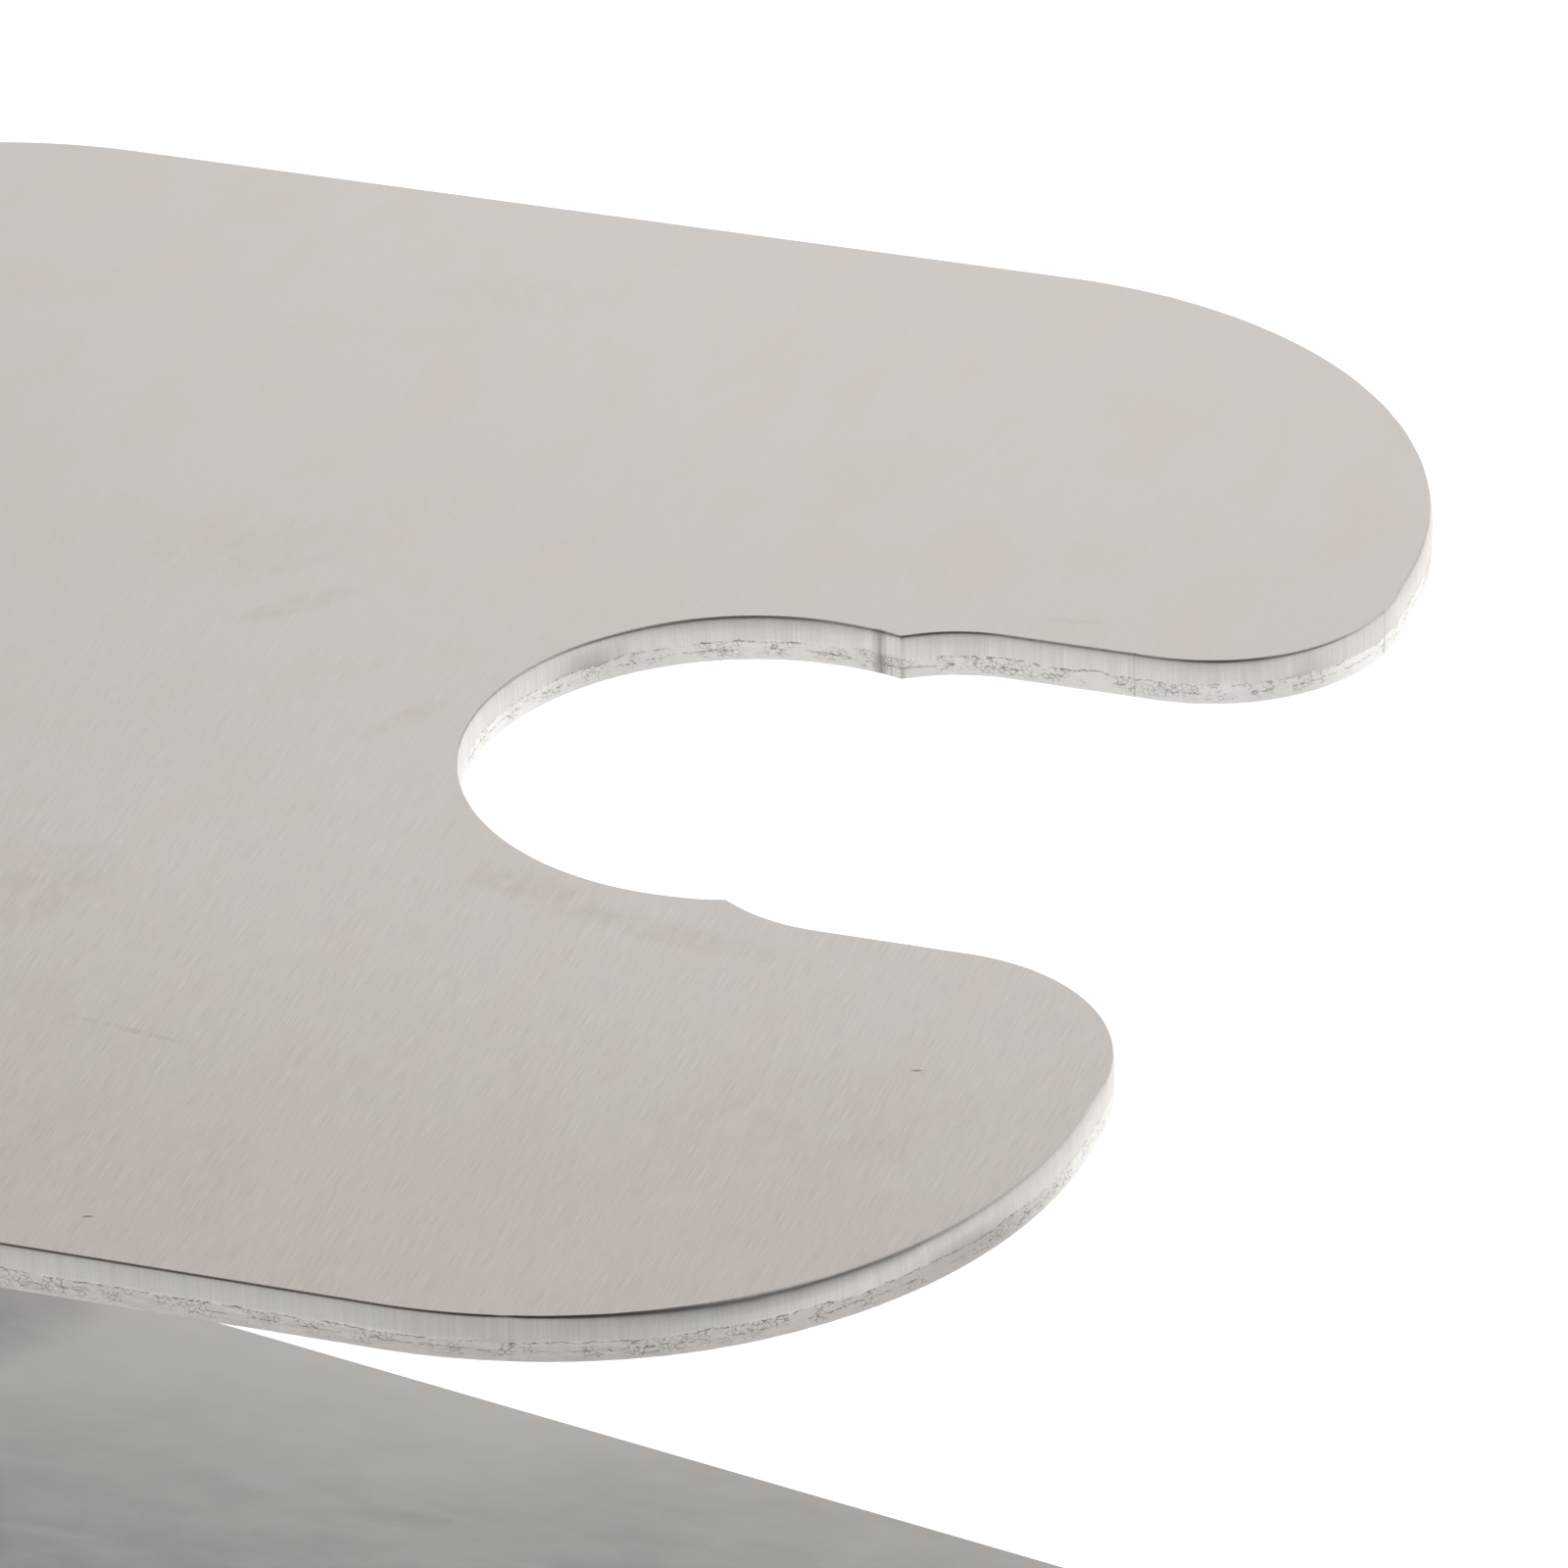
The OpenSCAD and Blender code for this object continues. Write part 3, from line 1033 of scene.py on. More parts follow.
@dataclass
class PalmPlate:
    """Punched sheet that the palm rests on, with the finger notch at its front.

    Attributes:
        corner_r: radius of its four corners.
        hole_r: radius of the notch's round hole.
        notch_reach: from the hole's centre to the front edge.
        slot_w: width of the slot.
        slot_corner_r: radius of the slot's inner corners.
        slot_overlap: how far behind the hole's centre the slot begins.
        lip_r: radius of the lips at the mouth.
        pitch: length of one edge along the outline.
        lip: how far the rim itself is drawn in.
        lip_depth: how quickly that fades.
        roll: how far the punch drew the edge in below the rim.
        notch_roll: share of that round the notch's hole.
        slot_roll: share of that along its slot.
        neck_x: where hole and slot meet, from the notch's centre.
        roll_depth: how deep that reaches.
        swell: how far the burnished land stands out.
        sheared: share of all these on the sides that were only sheared.
        punch_from: where the punched front begins, ahead of the notch's centre.
        punch_over: length over which it takes over.
        nick_len: length of the nick in the rim there.
        break_depth: where the burnished land ends.
        break_in: how far the broken part slopes inwards.
        depths: levels below the upper face that carry the edge's shape.
        witnesses: lines where punches met, placed from the notch's centre on one half.
        marks: the same lines once they are moved onto the outline.
        span: the node's box.
    """

    corner_r: float = 21.0
    hole_r: float = 11.5
    notch_reach: float = 21.1
    slot_w: float = 24.8
    slot_corner_r: float = 7.2
    slot_overlap: float = 0.2
    lip_r: float = 7.8
    pitch: float = 0.24
    lip: float = 0.05
    lip_depth: float = 0.065
    roll: float = 0.115
    notch_roll: float = 0.4
    slot_roll: float = 0.2
    neck_x: float = 2.9
    roll_depth: float = 0.78
    swell: float = 0.12
    sheared: float = 0.06
    punch_from: float = 5.1
    punch_over: float = 7.0
    nick_len: float = 0.7
    break_depth: float = 1.12
    break_in: float = 0.03
    depths: tuple[float, ...] = (
        0.02, 0.045, 0.075, 0.11, 0.16, 0.22, 0.30, 0.39, 0.49, 0.59, 0.69, 0.79,
        0.95, 1.08, 1.18, 1.28, 1.38, 1.48, 1.58, 1.68, 1.78, 1.88, 1.96,
    )
    witnesses: tuple[Witness, ...] = (
        Witness((2.05, 11.31), 0.52, 0.018, 0.75),
        Witness((2.45, 11.24), 0.20, 0.008, 0.45),
        Witness((2.93, 11.12), 0.18, 0.006, 0.70),
        Witness((12.4, 12.4), 0.16, 0.010, 0.60),
        Witness((20.9, 18.5), 0.20, 0.012, 0.40),
        Witness((5.1, 42.5), 0.12, 0.010, 0.15),
    )
    marks: list[Witness] = field(default_factory=list)
    span: Span = field(default_factory=lambda: Span.of("palm_plate"))

    @property
    def notch_x(self) -> float:
        """Where the notch's centre lies along the knife."""
        return self.span.high.x - self.notch_reach

    def _neck_corner(self) -> Vector:
        """Where the slot's inner corner arc leaves the round hole.

        Returns:
            The point, from the hole's centre.
        """
        across = Vector(
            (self.slot_corner_r - self.slot_overlap, self.slot_w / 2 - self.slot_corner_r)
        )
        gap = across.length
        along = (self.hole_r**2 - self.slot_corner_r**2 + gap**2) / (2 * gap)
        side = math.sqrt(self.hole_r**2 - along**2)
        unit = across / gap
        return unit * along + Vector((-unit.y, unit.x)) * side

    def _outline(self, mesh: bmesh.types.BMesh) -> bmesh.types.BMFace:
        """Draws the plate from above.

        Args:
            mesh: the mesh that is drawn in.

        Returns:
            The filled outline, at the plate's top.
        """
        z = self.span.high.z
        x0, x1, half = self.span.low.x, self.span.high.x, self.span.high.y
        r, lip, slot = self.corner_r, self.lip_r, self.slot_w / 2
        corner = self._neck_corner()
        bend = Vector((self.notch_x + self.slot_corner_r - self.slot_overlap,
                       slot - self.slot_corner_r))
        leave = Vector((self.notch_x + corner.x, corner.y)) - bend
        swept = math.degrees(math.atan2(leave.y, leave.x)) - 90
        start = math.degrees(math.atan2(corner.y, corner.x))
        pen = Pen(mesh, mm(x0, 0, z), self.pitch * MM)
        pen.line(mm(x0, half - r, z)).arc(mm(x0 + r, half - r, z), -90)
        pen.line(mm(x1 - r, half, z)).arc(mm(x1 - r, half - r, z), -90)
        pen.line(mm(x1, slot + lip, z)).arc(mm(x1 - lip, slot + lip, z), -90)
        pen.line(mm(bend.x, slot, z)).arc(mm(bend.x, bend.y, z), swept)
        pen.arc(mm(self.notch_x, 0, z), 180 - start)
        return close_outline(mesh, mirror_y=True)

    def _punched(self, place: Vector) -> float:
        """How far a place on the outline belongs to the punched front.

        Args:
            place: the place, in millimetres.

        Returns:
            0 on the sheared sides and rear, 1 on the notch and the lobes.
        """
        if math.hypot(place.x - self.notch_x, place.y) < self.span.high.y - self.corner_r / 2:
            return 1.0
        past = place.x - self.notch_x - self.punch_from
        return min(1.0, max(0.0, past / self.punch_over))

    def _inset(self, place: Vector, depth: float) -> float:
        """How far the edge lies inside the plain outline.

        Args:
            place: where on the outline, in millimetres.
            depth: how far below the top face.

        Returns:
            The inset in millimetres.
        """
        along = Vector((place.x, place.y, 0))
        punched = self._punched(place)
        share = self.sheared + (1 - self.sheared) * punched
        if abs(place.y) < self.slot_w / 2 + self.lip_r and place.x > self.notch_x - self.hole_r - 1:
            in_slot = place.x > self.notch_x + self.neck_x
            share *= self.slot_roll if in_slot else self.notch_roll
        nick = place.x - self.notch_x - self.punch_from
        lip = self.lip * (0.5 if -self.nick_len < nick < 0 and abs(place.y) > 40 else 1.0)
        inset = lip * math.exp(-depth / self.lip_depth) - self.swell * punched
        if depth < self.roll_depth:
            wobble = 1 + 0.25 * noise.noise(along * 0.9)
            inset += self.roll * share * wobble * (1 - depth / self.roll_depth) ** 2
        edge = self.break_depth + 0.12 * noise.noise(along * 0.7)
        if depth > edge:
            below = (depth - edge) / (self.span.size.z - edge)
            rough = noise.noise(Vector((place.x * 2.2, place.y * 2.2, depth * 4.0)))
            fine = noise.noise(Vector((place.x * 6.0, place.y * 6.0, depth * 9.0)))
            inset += self.break_in * below
            inset += (0.012 * rough + 0.012 * fine + 0.014) * min(1, 4 * below)
        for mark in self.marks:
            off = abs(place.x - mark.at[0]) + abs(abs(place.y) - abs(mark.at[1]))
            inset += mark.depth * max(0.0, 1 - off / mark.width)
        return inset

    def build(self) -> bpy.types.Object:
        """Builds the plate with its worked edge.

        Returns:
            The plate.
        """
        mesh = bmesh.new()
        top = self._outline(mesh)
        outline = [v.co / MM for v in top.verts]
        self.marks = [mark.snapped(outline, self.notch_x) for mark in self.witnesses]
        extrude(mesh, top, -Z_AXIS * self.span.size.z * MM)
        levels = [mm(0, 0, self.span.high.z - depth) for depth in self.depths]
        slice_at(mesh, levels, Z_AXIS)
        mesh.normal_update()
        moves = []
        for vert in mesh.verts:
            outward = Vector((vert.normal.x, vert.normal.y, 0))
            if outward.length > 0.05:
                place = vert.co / MM
                inset = self._inset(place, self.span.high.z - place.z)
                moves.append((vert, outward.normalized() * inset * MM))
        for vert, step in moves:
            vert.co -= step
        return to_object(mesh, "palm_plate_look")

    def dress(self, piece: bpy.types.Object) -> None:
        """Gives the plate its two finishes.

        Args:
            piece: the plate.
        """
        sheet = BrushedSheet((self.notch_x, 0.0)).material()
        edge = PunchedEdge(self.span.high.z, self.span.size.z, self.marks, self.notch_x).material()
        place_piece(
            piece, "palm_plate", [sheet, edge], 26.0, lambda f: 0 if abs(f.normal.z) > 0.98 else 1
        )


# ---------------------------------------------------------------- blade and doubler


@dataclass
class Blade:
    """Tapered spring-steel blade, ground thinner towards its round tip.

    Attributes:
        heel_straight: length of its parallel heel.
        heel_r: radius of its heel corners.
        shoulder_r: radius where the taper begins.
        tip_r: radius of its tip.
        tip_t: thickness at the tip.
        grind_len: how far behind the tip the grind begins.
        pitch: length of one edge along the outline.
        edge_r: radius of its eased edges.
        span: the node's box.
    """

    heel_straight: float = 16.5
    heel_r: float = 10.0
    shoulder_r: float = 50.0
    tip_r: float = 14.0
    tip_t: float = 0.5
    grind_len: float = 100.0
    pitch: float = 1.0
    edge_r: float = 0.14
    span: Span = field(default_factory=lambda: Span.of("blade"))

    def build(self) -> bpy.types.Object:
        """Builds the blade.

        Returns:
            The blade.
        """
        heel, tip, half = self.span.low.x, self.span.high.x, self.span.high.y
        centre = Vector((tip - self.tip_r, 0))
        shoulder = Vector((heel + self.heel_straight, half))
        run = (centre - shoulder).length
        taper = math.asin(half / run) - math.asin(self.tip_r / run)
        back = self.shoulder_r * math.tan(taper / 2)
        angle = math.degrees(taper)
        flank = centre + self.tip_r * Vector((math.sin(taper), math.cos(taper)))
        z = self.span.high.z
        mesh = bmesh.new()
        pen = Pen(mesh, mm(heel, 0, z), self.pitch * MM)
        pen.line(mm(heel, half - self.heel_r, z)).arc(mm(heel + self.heel_r, half - self.heel_r, z), -90)
        pen.line(mm(shoulder.x - back, half, z))
        pen.arc(mm(shoulder.x - back, half - self.shoulder_r, z), -angle)
        pen.line(mm(flank.x, flank.y, z)).arc(mm(centre.x, 0, z), angle - 90)
        extrude(mesh, close_outline(mesh, mirror_y=True), -Z_AXIS * z * MM)
        start = tip - self.grind_len
        slice_at(mesh, [mm(start, 0, 0)], X_AXIS)
        for vert in mesh.verts:
            if vert.co.z > 0.5 * z * MM and vert.co.x > start * MM:
                share = (vert.co.x / MM - start) / self.grind_len
                vert.co.z -= share * (z - self.tip_t) * MM
        ease(mesh, sharper_than(60), self.edge_r * MM)
        return to_object(mesh, "blade_look")

    def dress(self, piece: bpy.types.Object) -> None:
        """Gives the blade its satin finish.

        Args:
            piece: the blade.
        """
        flat = GroundBlade((self.span.low.x, 0.0)).material()
        edge = SatinSteel("blade_edge", (0.26, 0.25, 0.245), 0.36, (4.0, 4.0, 1.0)).material()
        place_piece(
            piece, "blade", [flat, edge], 30.0, lambda f: 0 if abs(f.normal.z) > 0.97 else 1
        )


@dataclass
class HeelDoubler:
    """Strip that spreads the neck's load over the heel.

    Attributes:
        end_gap: half width less the radius of its round ends.
        edge_r: radius of its eased edges.
        span: the node's box.
    """

    end_gap: float = 0.5
    edge_r: float = 0.22
    span: Span = field(default_factory=lambda: Span.of("heel_doubler"))

    def build(self) -> bpy.types.Object:
        """Builds the strip.

        Returns:
            The strip.
        """
        low, high = self.span.low, self.span.high
        r = self.span.size.x / 2 - self.end_gap
        mesh = bmesh.new()
        pen = Pen(mesh, mm(low.x, 0, high.z), 0.7 * MM)
        pen.line(mm(low.x, high.y - r, high.z)).arc(mm(low.x + r, high.y - r, high.z), -90)
        pen.line(mm(high.x - r, high.y, high.z)).arc(mm(high.x - r, high.y - r, high.z), -90)
        pen.line(mm(high.x, 0, high.z))
        extrude(mesh, close_outline(mesh, mirror_y=True), -Z_AXIS * self.span.size.z * MM)
        ease(mesh, sharper_than(60), self.edge_r * MM)
        return to_object(mesh, "heel_doubler_look")

    def dress(self, piece: bpy.types.Object) -> None:
        """Gives the strip its finish.

        Args:
            piece: the strip.
        """
        satin = SatinSteel(
            "doubler_steel", (0.44, 0.44, 0.44), 0.36, (8.0, 0.3, 3.0), 0.008, 0.10, 0.08
        )
        place_piece(piece, "heel_doubler", [satin.material()], 30.0)


# ---------------------------------------------------------------- neck


@dataclass
class NeckBracket:
    """Steel strap bent to a C, waisted in its upright.

    Attributes:
        thickness: the strap's thickness.
        bend_r: inside radius of its bends.
        waist_w: width at the waist.
        corner_r: radius of the flanges' corners.
        edge_r: radius of its eased edges.
        slices: edge loops up the upright.
        blade_flange_x: where the lower flange ends.
        span: the node's box.
    """

    thickness: float = 3.0
    bend_r: float = 3.0
    waist_w: float = 27.0
    corner_r: float = 5.0
    edge_r: float = 0.35
    slices: int = 20
    blade_flange_x: float = field(default_factory=lambda: Span.of("heel_doubler").high.x)
    span: Span = field(default_factory=lambda: Span.of("neck_bracket"))

    def _profile(self, mesh: bmesh.types.BMesh) -> bmesh.types.BMFace:
        """Draws the strap from the side, at its -Y edge.

        Args:
            mesh: the mesh that is drawn in.

        Returns:
            The filled profile.
        """
        low, high, t, r = self.span.low, self.span.high, self.thickness, self.bend_r
        outer, y = r + t, low.y
        pen = Pen(mesh, mm(self.blade_flange_x, y, low.z), 40 * MM)
        pen.line(mm(low.x + outer, y, low.z))
        pen.pitch = 0.6 * MM
        pen.arc(mm(low.x + outer, y, low.z + outer), 90, Y_AXIS)
        pen.pitch = 80 * MM
        pen.line(mm(low.x, y, high.z - outer))
        pen.pitch = 0.6 * MM
        pen.arc(mm(low.x + outer, y, high.z - outer), 90, Y_AXIS)
        pen.pitch = 80 * MM
        pen.line(mm(high.x, y, high.z)).line(mm(high.x, y, high.z - t))
        pen.line(mm(low.x + outer, y, high.z - t))
        pen.pitch = 0.6 * MM
        pen.arc(mm(low.x + outer, y, high.z - outer), -90, Y_AXIS)
        pen.pitch = 80 * MM
        pen.line(mm(low.x + t, y, low.z + outer))
        pen.pitch = 0.6 * MM
        pen.arc(mm(low.x + outer, y, low.z + outer), -90, Y_AXIS)
        pen.pitch = 80 * MM
        pen.line(mm(self.blade_flange_x, y, low.z + t)).line(mm(self.blade_flange_x, y, low.z))
        return close_outline(mesh, mirror_y=False)

    def _half_width(self, z: float) -> float:
        """Half the strap's width at a height.

        Args:
            z: the height, in millimetres.

        Returns:
            The half width.
        """
        outer = self.bend_r + self.thickness
        half = (self.span.size.z - 2 * outer) / 2
        depth = (self.span.size.y - self.waist_w) / 2
        radius = (half**2 + depth**2) / (2 * depth)
        off = min(half, abs(z - (self.span.low.z + self.span.high.z) / 2))
        return self.waist_w / 2 + radius - math.sqrt(radius**2 - off**2)

    def build(self) -> bpy.types.Object:
        """Builds the strap.

        Returns:
            The strap.
        """
        mesh = bmesh.new()
        extrude(mesh, self._profile(mesh), Y_AXIS * self.span.size.y * MM)
        outer = self.bend_r + self.thickness
        z0, z1 = self.span.low.z + outer, self.span.high.z - outer
        levels = [mm(0, 0, z0 + (z1 - z0) * i / self.slices) for i in range(self.slices + 1)]
        slice_at(mesh, levels, Z_AXIS)
        ends = {round(self.blade_flange_x, 2), round(self.span.high.x, 2)}

        def is_flange_corner(edge: bmesh.types.BMEdge) -> bool:
            """Whether an edge is a flange's upright corner.

            Args:
                edge: the edge.

            Returns:
                True where it is one.
            """
            a, b = (v.co / MM for v in edge.verts)
            return abs(a.x - b.x) < 0.01 and abs(a.y - b.y) < 0.01 and round(a.x, 2) in ends

        ease(mesh, is_flange_corner, self.corner_r * MM, 10)
        for vert in mesh.verts:
            if vert.co.x / MM < self.span.low.x + self.thickness + 0.01:
                share = vert.co.y / MM / self.span.high.y
                vert.co.y = share * self._half_width(vert.co.z / MM) * MM
        ease(mesh, sharper_than(50), self.edge_r * MM)
        return to_object(mesh, "neck_bracket_look")

    def dress(self, piece: bpy.types.Object) -> None:
        """Gives the strap its finish.

        Args:
            piece: the strap.
        """
        satin = SatinSteel(
            "strap_steel", (0.42, 0.42, 0.425), 0.34, (0.3, 6.0, 0.3), 0.010, 0.12, 0.10
        )
        place_piece(piece, "neck_bracket", [satin.material()], 30.0)


# ---------------------------------------------------------------- fasteners


@dataclass
class PalmFasteners:
    """Four countersunk screws with their washers and nuts.

    Attributes:
        screw_r: thread radius.
        clearance: radial clearance in plate and strap.
        sink: how far the heads lie below flush.
        pitch: thread pitch.
        thread_depth: how deep the thread is cut.
        socket_af: width of the hexagon socket across its flats.
        socket_depth: depth of the socket.
        nut_af: width of a nut across its flats.
        screws: box of the screws' node.
        washers: box of the washers' node.
        nuts: box of the nuts' node.
        plate: box of the palm plate's node.
    """

    screw_r: float = 1.5
    clearance: float = 0.15
    sink: float = 0.05
    pitch: float = 0.5
    thread_depth: float = 0.31
    socket_af: float = 1.98
    socket_depth: float = 1.14
    nut_af: float = 5.49
    screws: Span = field(default_factory=lambda: Span.of("palm_screws"))
    washers: Span = field(default_factory=lambda: Span.of("palm_washers"))
    nuts: Span = field(default_factory=lambda: Span.of("palm_nuts"))
    plate: Span = field(default_factory=lambda: Span.of("palm_plate"))

    @property
    def head_r(self) -> float:
        """Radius of a screw's head."""
        return 1.93 * self.screw_r

    @property
    def washer_r(self) -> float:
        """Radius of a washer."""
        return 2.33 * self.screw_r

    def places(self, z: float) -> list[Vector]:
        """Where the four screws stand.

        Args:
            z: the height wanted, in millimetres.

        Returns:
            The four points, in metres.
        """
        r = self.washer_r
        xs = (self.washers.low.x + r, self.washers.high.x - r)
        ys = (self.washers.low.y + r, self.washers.high.y - r)
        return [mm(x, y, z) for x in xs for y in ys]

    def seat_tool(self) -> bmesh.types.BMesh:
        """Cutter for the plate: four countersunk holes.

        Returns:
            The cutter.
        """
        head_h = self.head_r - self.screw_r
        top, low = 0.2, -self.plate.size.z - 0.3
        wide = self.head_r + self.sink
        bore = self.screw_r + self.clearance
        profile = [(0, low), (bore, low), (bore, -head_h - self.sink + self.clearance),
                   (wide, 0), (wide, top), (0, top)]
        tool = lathe(profile, 64)
        scatter(tool, self.places(self.plate.high.z))
        return tool

    def bore_tool(self, high: float, low: float) -> bmesh.types.BMesh:
        """Cutter for plain clearance holes.

        Args:
            high: its upper end.
            low: its lower end.

        Returns:
            The cutter.
        """
        tool = prism(48, self.screw_r + self.clearance, low, high)
        scatter(tool, self.places(0))
        return tool

    def _screw_mesh(self) -> bmesh.types.BMesh:
        """One screw, its head's face at the origin, with a cut helical thread.

        Returns:
            The screw without its socket.
        """
        head_h = self.head_r - self.screw_r
        length = self.screws.size.z
        root = self.screw_r - self.thread_depth
        blank = head_h + 0.6
        profile = [(0, 0), (self.head_r - 0.06, 0), (self.head_r, -0.05), (self.screw_r, -head_h),
                   (self.screw_r, -blank), (root, -blank - 0.3), (root, -length + 0.12),
                   (root - 0.12, -length), (0, -length)]
        core = lathe(profile)
        steps = 32
        turns = int((length - blank - 0.35) / self.pitch)
        thread = bmesh.new()
        top = -blank - 0.25
        pen = Pen(thread, mm(root - 0.06, 0, top), 1.0)
        pen.line(mm(self.screw_r, 0, top - 0.42 * self.pitch))
        pen.line(mm(self.screw_r, 0, top - 0.55 * self.pitch))
        pen.line(mm(root - 0.06, 0, top - 0.97 * self.pitch))
        bmesh.ops.contextual_create(thread, geom=thread.verts[:])
        bmesh.ops.spin(
            thread, geom=thread.faces[:] + thread.edges[:] + thread.verts[:], cent=Vector(),
            axis=Z_AXIS, dvec=-Z_AXIS * self.pitch * MM / steps, angle=math.tau * turns,
            space=Matrix.Identity(4), steps=steps * turns, use_merge=False,
            use_normal_flip=False, use_duplicate=False,
        )
        bmesh.ops.recalc_face_normals(thread, faces=thread.faces[:])
        data = bpy.data.meshes.new("thread")
        thread.to_mesh(data)
        thread.free()
        core.from_mesh(data)
        bpy.data.meshes.remove(data)
        return core

    def build_screws(self) -> bpy.types.Object:
        """Builds the screws.

        Returns:
            The four screws.
        """
        screw = to_object(self._screw_mesh(), "screw")
        hexagon = self.socket_af / math.cos(math.radians(30)) / 2
        carve(screw, prism(6, hexagon, -self.socket_depth, 0.3))
        mesh = bmesh.new()
        mesh.from_mesh(screw.data)
        bpy.data.objects.remove(screw)
        scatter(mesh, self.places(self.screws.high.z), 37)
        return to_object(mesh, "palm_screws_look")

    def build_washers(self) -> bpy.types.Object:
        """Builds the washers.

        Returns:
            The four washers.
        """
        bore, r, t, edge = self.screw_r + self.clearance, self.washer_r, self.washers.size.z, 0.07
        profile = [(bore, edge), (bore + edge, 0), (r - edge, 0), (r, edge), (r, t - edge),
                   (r - edge, t), (bore + edge, t), (bore, t - edge), (bore, edge)]
        mesh = lathe(profile)
        scatter(mesh, self.places(self.washers.low.z))
        return to_object(mesh, "palm_washers_look")

    def build_nuts(self) -> bpy.types.Object:
        """Builds the nuts, chamfered on both faces.

        Returns:
            The four nuts.
        """
        height = self.nuts.size.z
        corner = self.nut_af / 2 / math.cos(math.radians(30))
        flat = self.nut_af / 2
        bevel = (corner - flat) / 2
        nut = to_object(prism(6, corner, 0, height), "nut")
        barrel = [(0, 0), (flat - bevel / 2, 0), (corner + 0.02, bevel), (corner + 0.02, height - bevel),
                  (flat - bevel / 2, height), (0, height)]
        carve(nut, lathe(barrel, 96), Cut.KEEP_INSIDE)
        bore, lead = self.screw_r + 0.02, 0.22
        hole = [(0, -0.3), (bore + lead + 0.3, -0.3), (bore, lead), (bore, height - lead),
                (bore + lead + 0.3, height + 0.3), (0, height + 0.3)]
        carve(nut, lathe(hole, 64))
        mesh = bmesh.new()
        mesh.from_mesh(nut.data)
        bpy.data.objects.remove(nut)
        scatter(mesh, self.places(self.nuts.low.z), 19)
        return to_object(mesh, "palm_nuts_look")

    def dress(self, screws: bpy.types.Object, washers: bpy.types.Object, nuts: bpy.types.Object) -> None:
        """Gives the fasteners their finishes.

        Args:
            screws: the screws.
            washers: the washers.
            nuts: the nuts.
        """
        steel = SatinSteel(
            "screw_steel", (0.52, 0.52, 0.53), 0.27, (5.0, 5.0, 5.0), 0.004, 0.08, 0.08
        )
        zinc = BrightZinc().material()
        place_piece(screws, "palm_screws", [steel.material()], 30.0)
        place_piece(washers, "palm_washers", [zinc], 30.0)
        place_piece(nuts, "palm_nuts", [zinc], 30.0)


@dataclass
class Rivets:
    """Solid rivets with domed heads above and flush feet under the blade.

    Attributes:
        node: the CAD node that they stand for.
        count: how many stand in a row across the knife.
        shank_r: radius of the shank.
        head_r: radius of the head.
        head_h: height of the head.
        foot_r: radius of the countersunk foot.
        sink: how far the feet lie above the blade's face.
        gap: radial clearance round the shank.
        foot_share: depth of the foot's seat, as a share of the blade's thickness.
        rim_h: height of a head's rim, where its dome begins.
        dome_steps: faces from a head's top to its rim.
        span: the node's box.
        blade: box of the blade's node.
    """

    node: str
    count: int
    shank_r: float = 2.0
    head_r: float = 3.7
    head_h: float = 2.32
    foot_r: float = 3.0
    sink: float = 0.05
    gap: float = 0.03
    foot_share: float = 0.75
    rim_h: float = 0.12
    dome_steps: int = 14
    span: Span = field(init=False)
    blade: Span = field(default_factory=lambda: Span.of("blade"))

    def __post_init__(self) -> None:
        """Reads the node's box."""
        self.span = Span.of(self.node)

    def places(self) -> list[Vector]:
        """Where the rivets stand, across the knife.

        Returns:
            Their points, in metres.
        """
        x = (self.span.low.x + self.span.high.x) / 2
        y = self.span.high.y - self.head_r
        return [mm(x, -y + 2 * y * i / (self.count - 1), 0) for i in range(self.count)]

    @property
    def foot_h(self) -> float:
        """Depth of the foot's seat."""
        return self.foot_share * self.blade.size.z

    def seat_tool(self, low: float, high: float, countersunk: bool) -> bmesh.types.BMesh:
        """Cutter for the rivets' holes.

        Args:
            low: its lower end.
            high: its upper end.
            countersunk: whether it also cuts the seat of the foot, at height 0.

        Returns:
            The cutter.
        """
        bore = self.shank_r + self.gap
        profile = [(0, low), (bore, low), (bore, high), (0, high)]
        if countersunk:
            wide = self.foot_r + self.gap
            profile = [(0, low), (wide, low), (wide, 0), (bore, self.foot_h), (bore, high), (0, high)]
        tool = lathe(profile, 64)
        scatter(tool, self.places())
        return tool

    def build(self) -> bpy.types.Object:
        """Builds the rivets.

        Returns:
            The rivets.
        """
        stack = self.span.high.z - self.head_h
        dome = (self.head_r**2 + self.head_h**2) / (2 * self.head_h)
        centre = stack + self.head_h - dome
        rim = math.acos((stack + self.rim_h - centre) / dome)
        turns = [rim * i / self.dome_steps for i in range(self.dome_steps + 1)]
        arc = [(dome * math.sin(turn), centre + dome * math.cos(turn)) for turn in turns]
        profile = [*arc, (arc[-1][0] - 0.03, stack), (self.shank_r, stack),
                   (self.shank_r, self.foot_h), (self.foot_r - 0.08, self.sink + 0.04),
                   (self.foot_r - 0.14, self.sink), (0, self.sink)]
        mesh = lathe(profile, 56)
        scatter(mesh, self.places())
        return to_object(mesh, f"{self.node}_look")

    def dress(self, piece: bpy.types.Object) -> None:
        """Gives the rivets their finish.

        Args:
            piece: the rivets.
        """
        steel = SatinSteel(
            f"{self.node}_steel", (0.50, 0.49, 0.48), 0.30, (3.0, 3.0, 3.0), 0.006, 0.10, 0.08
        )
        place_piece(piece, self.node, [steel.material()], 30.0)


# ---------------------------------------------------------------- studio


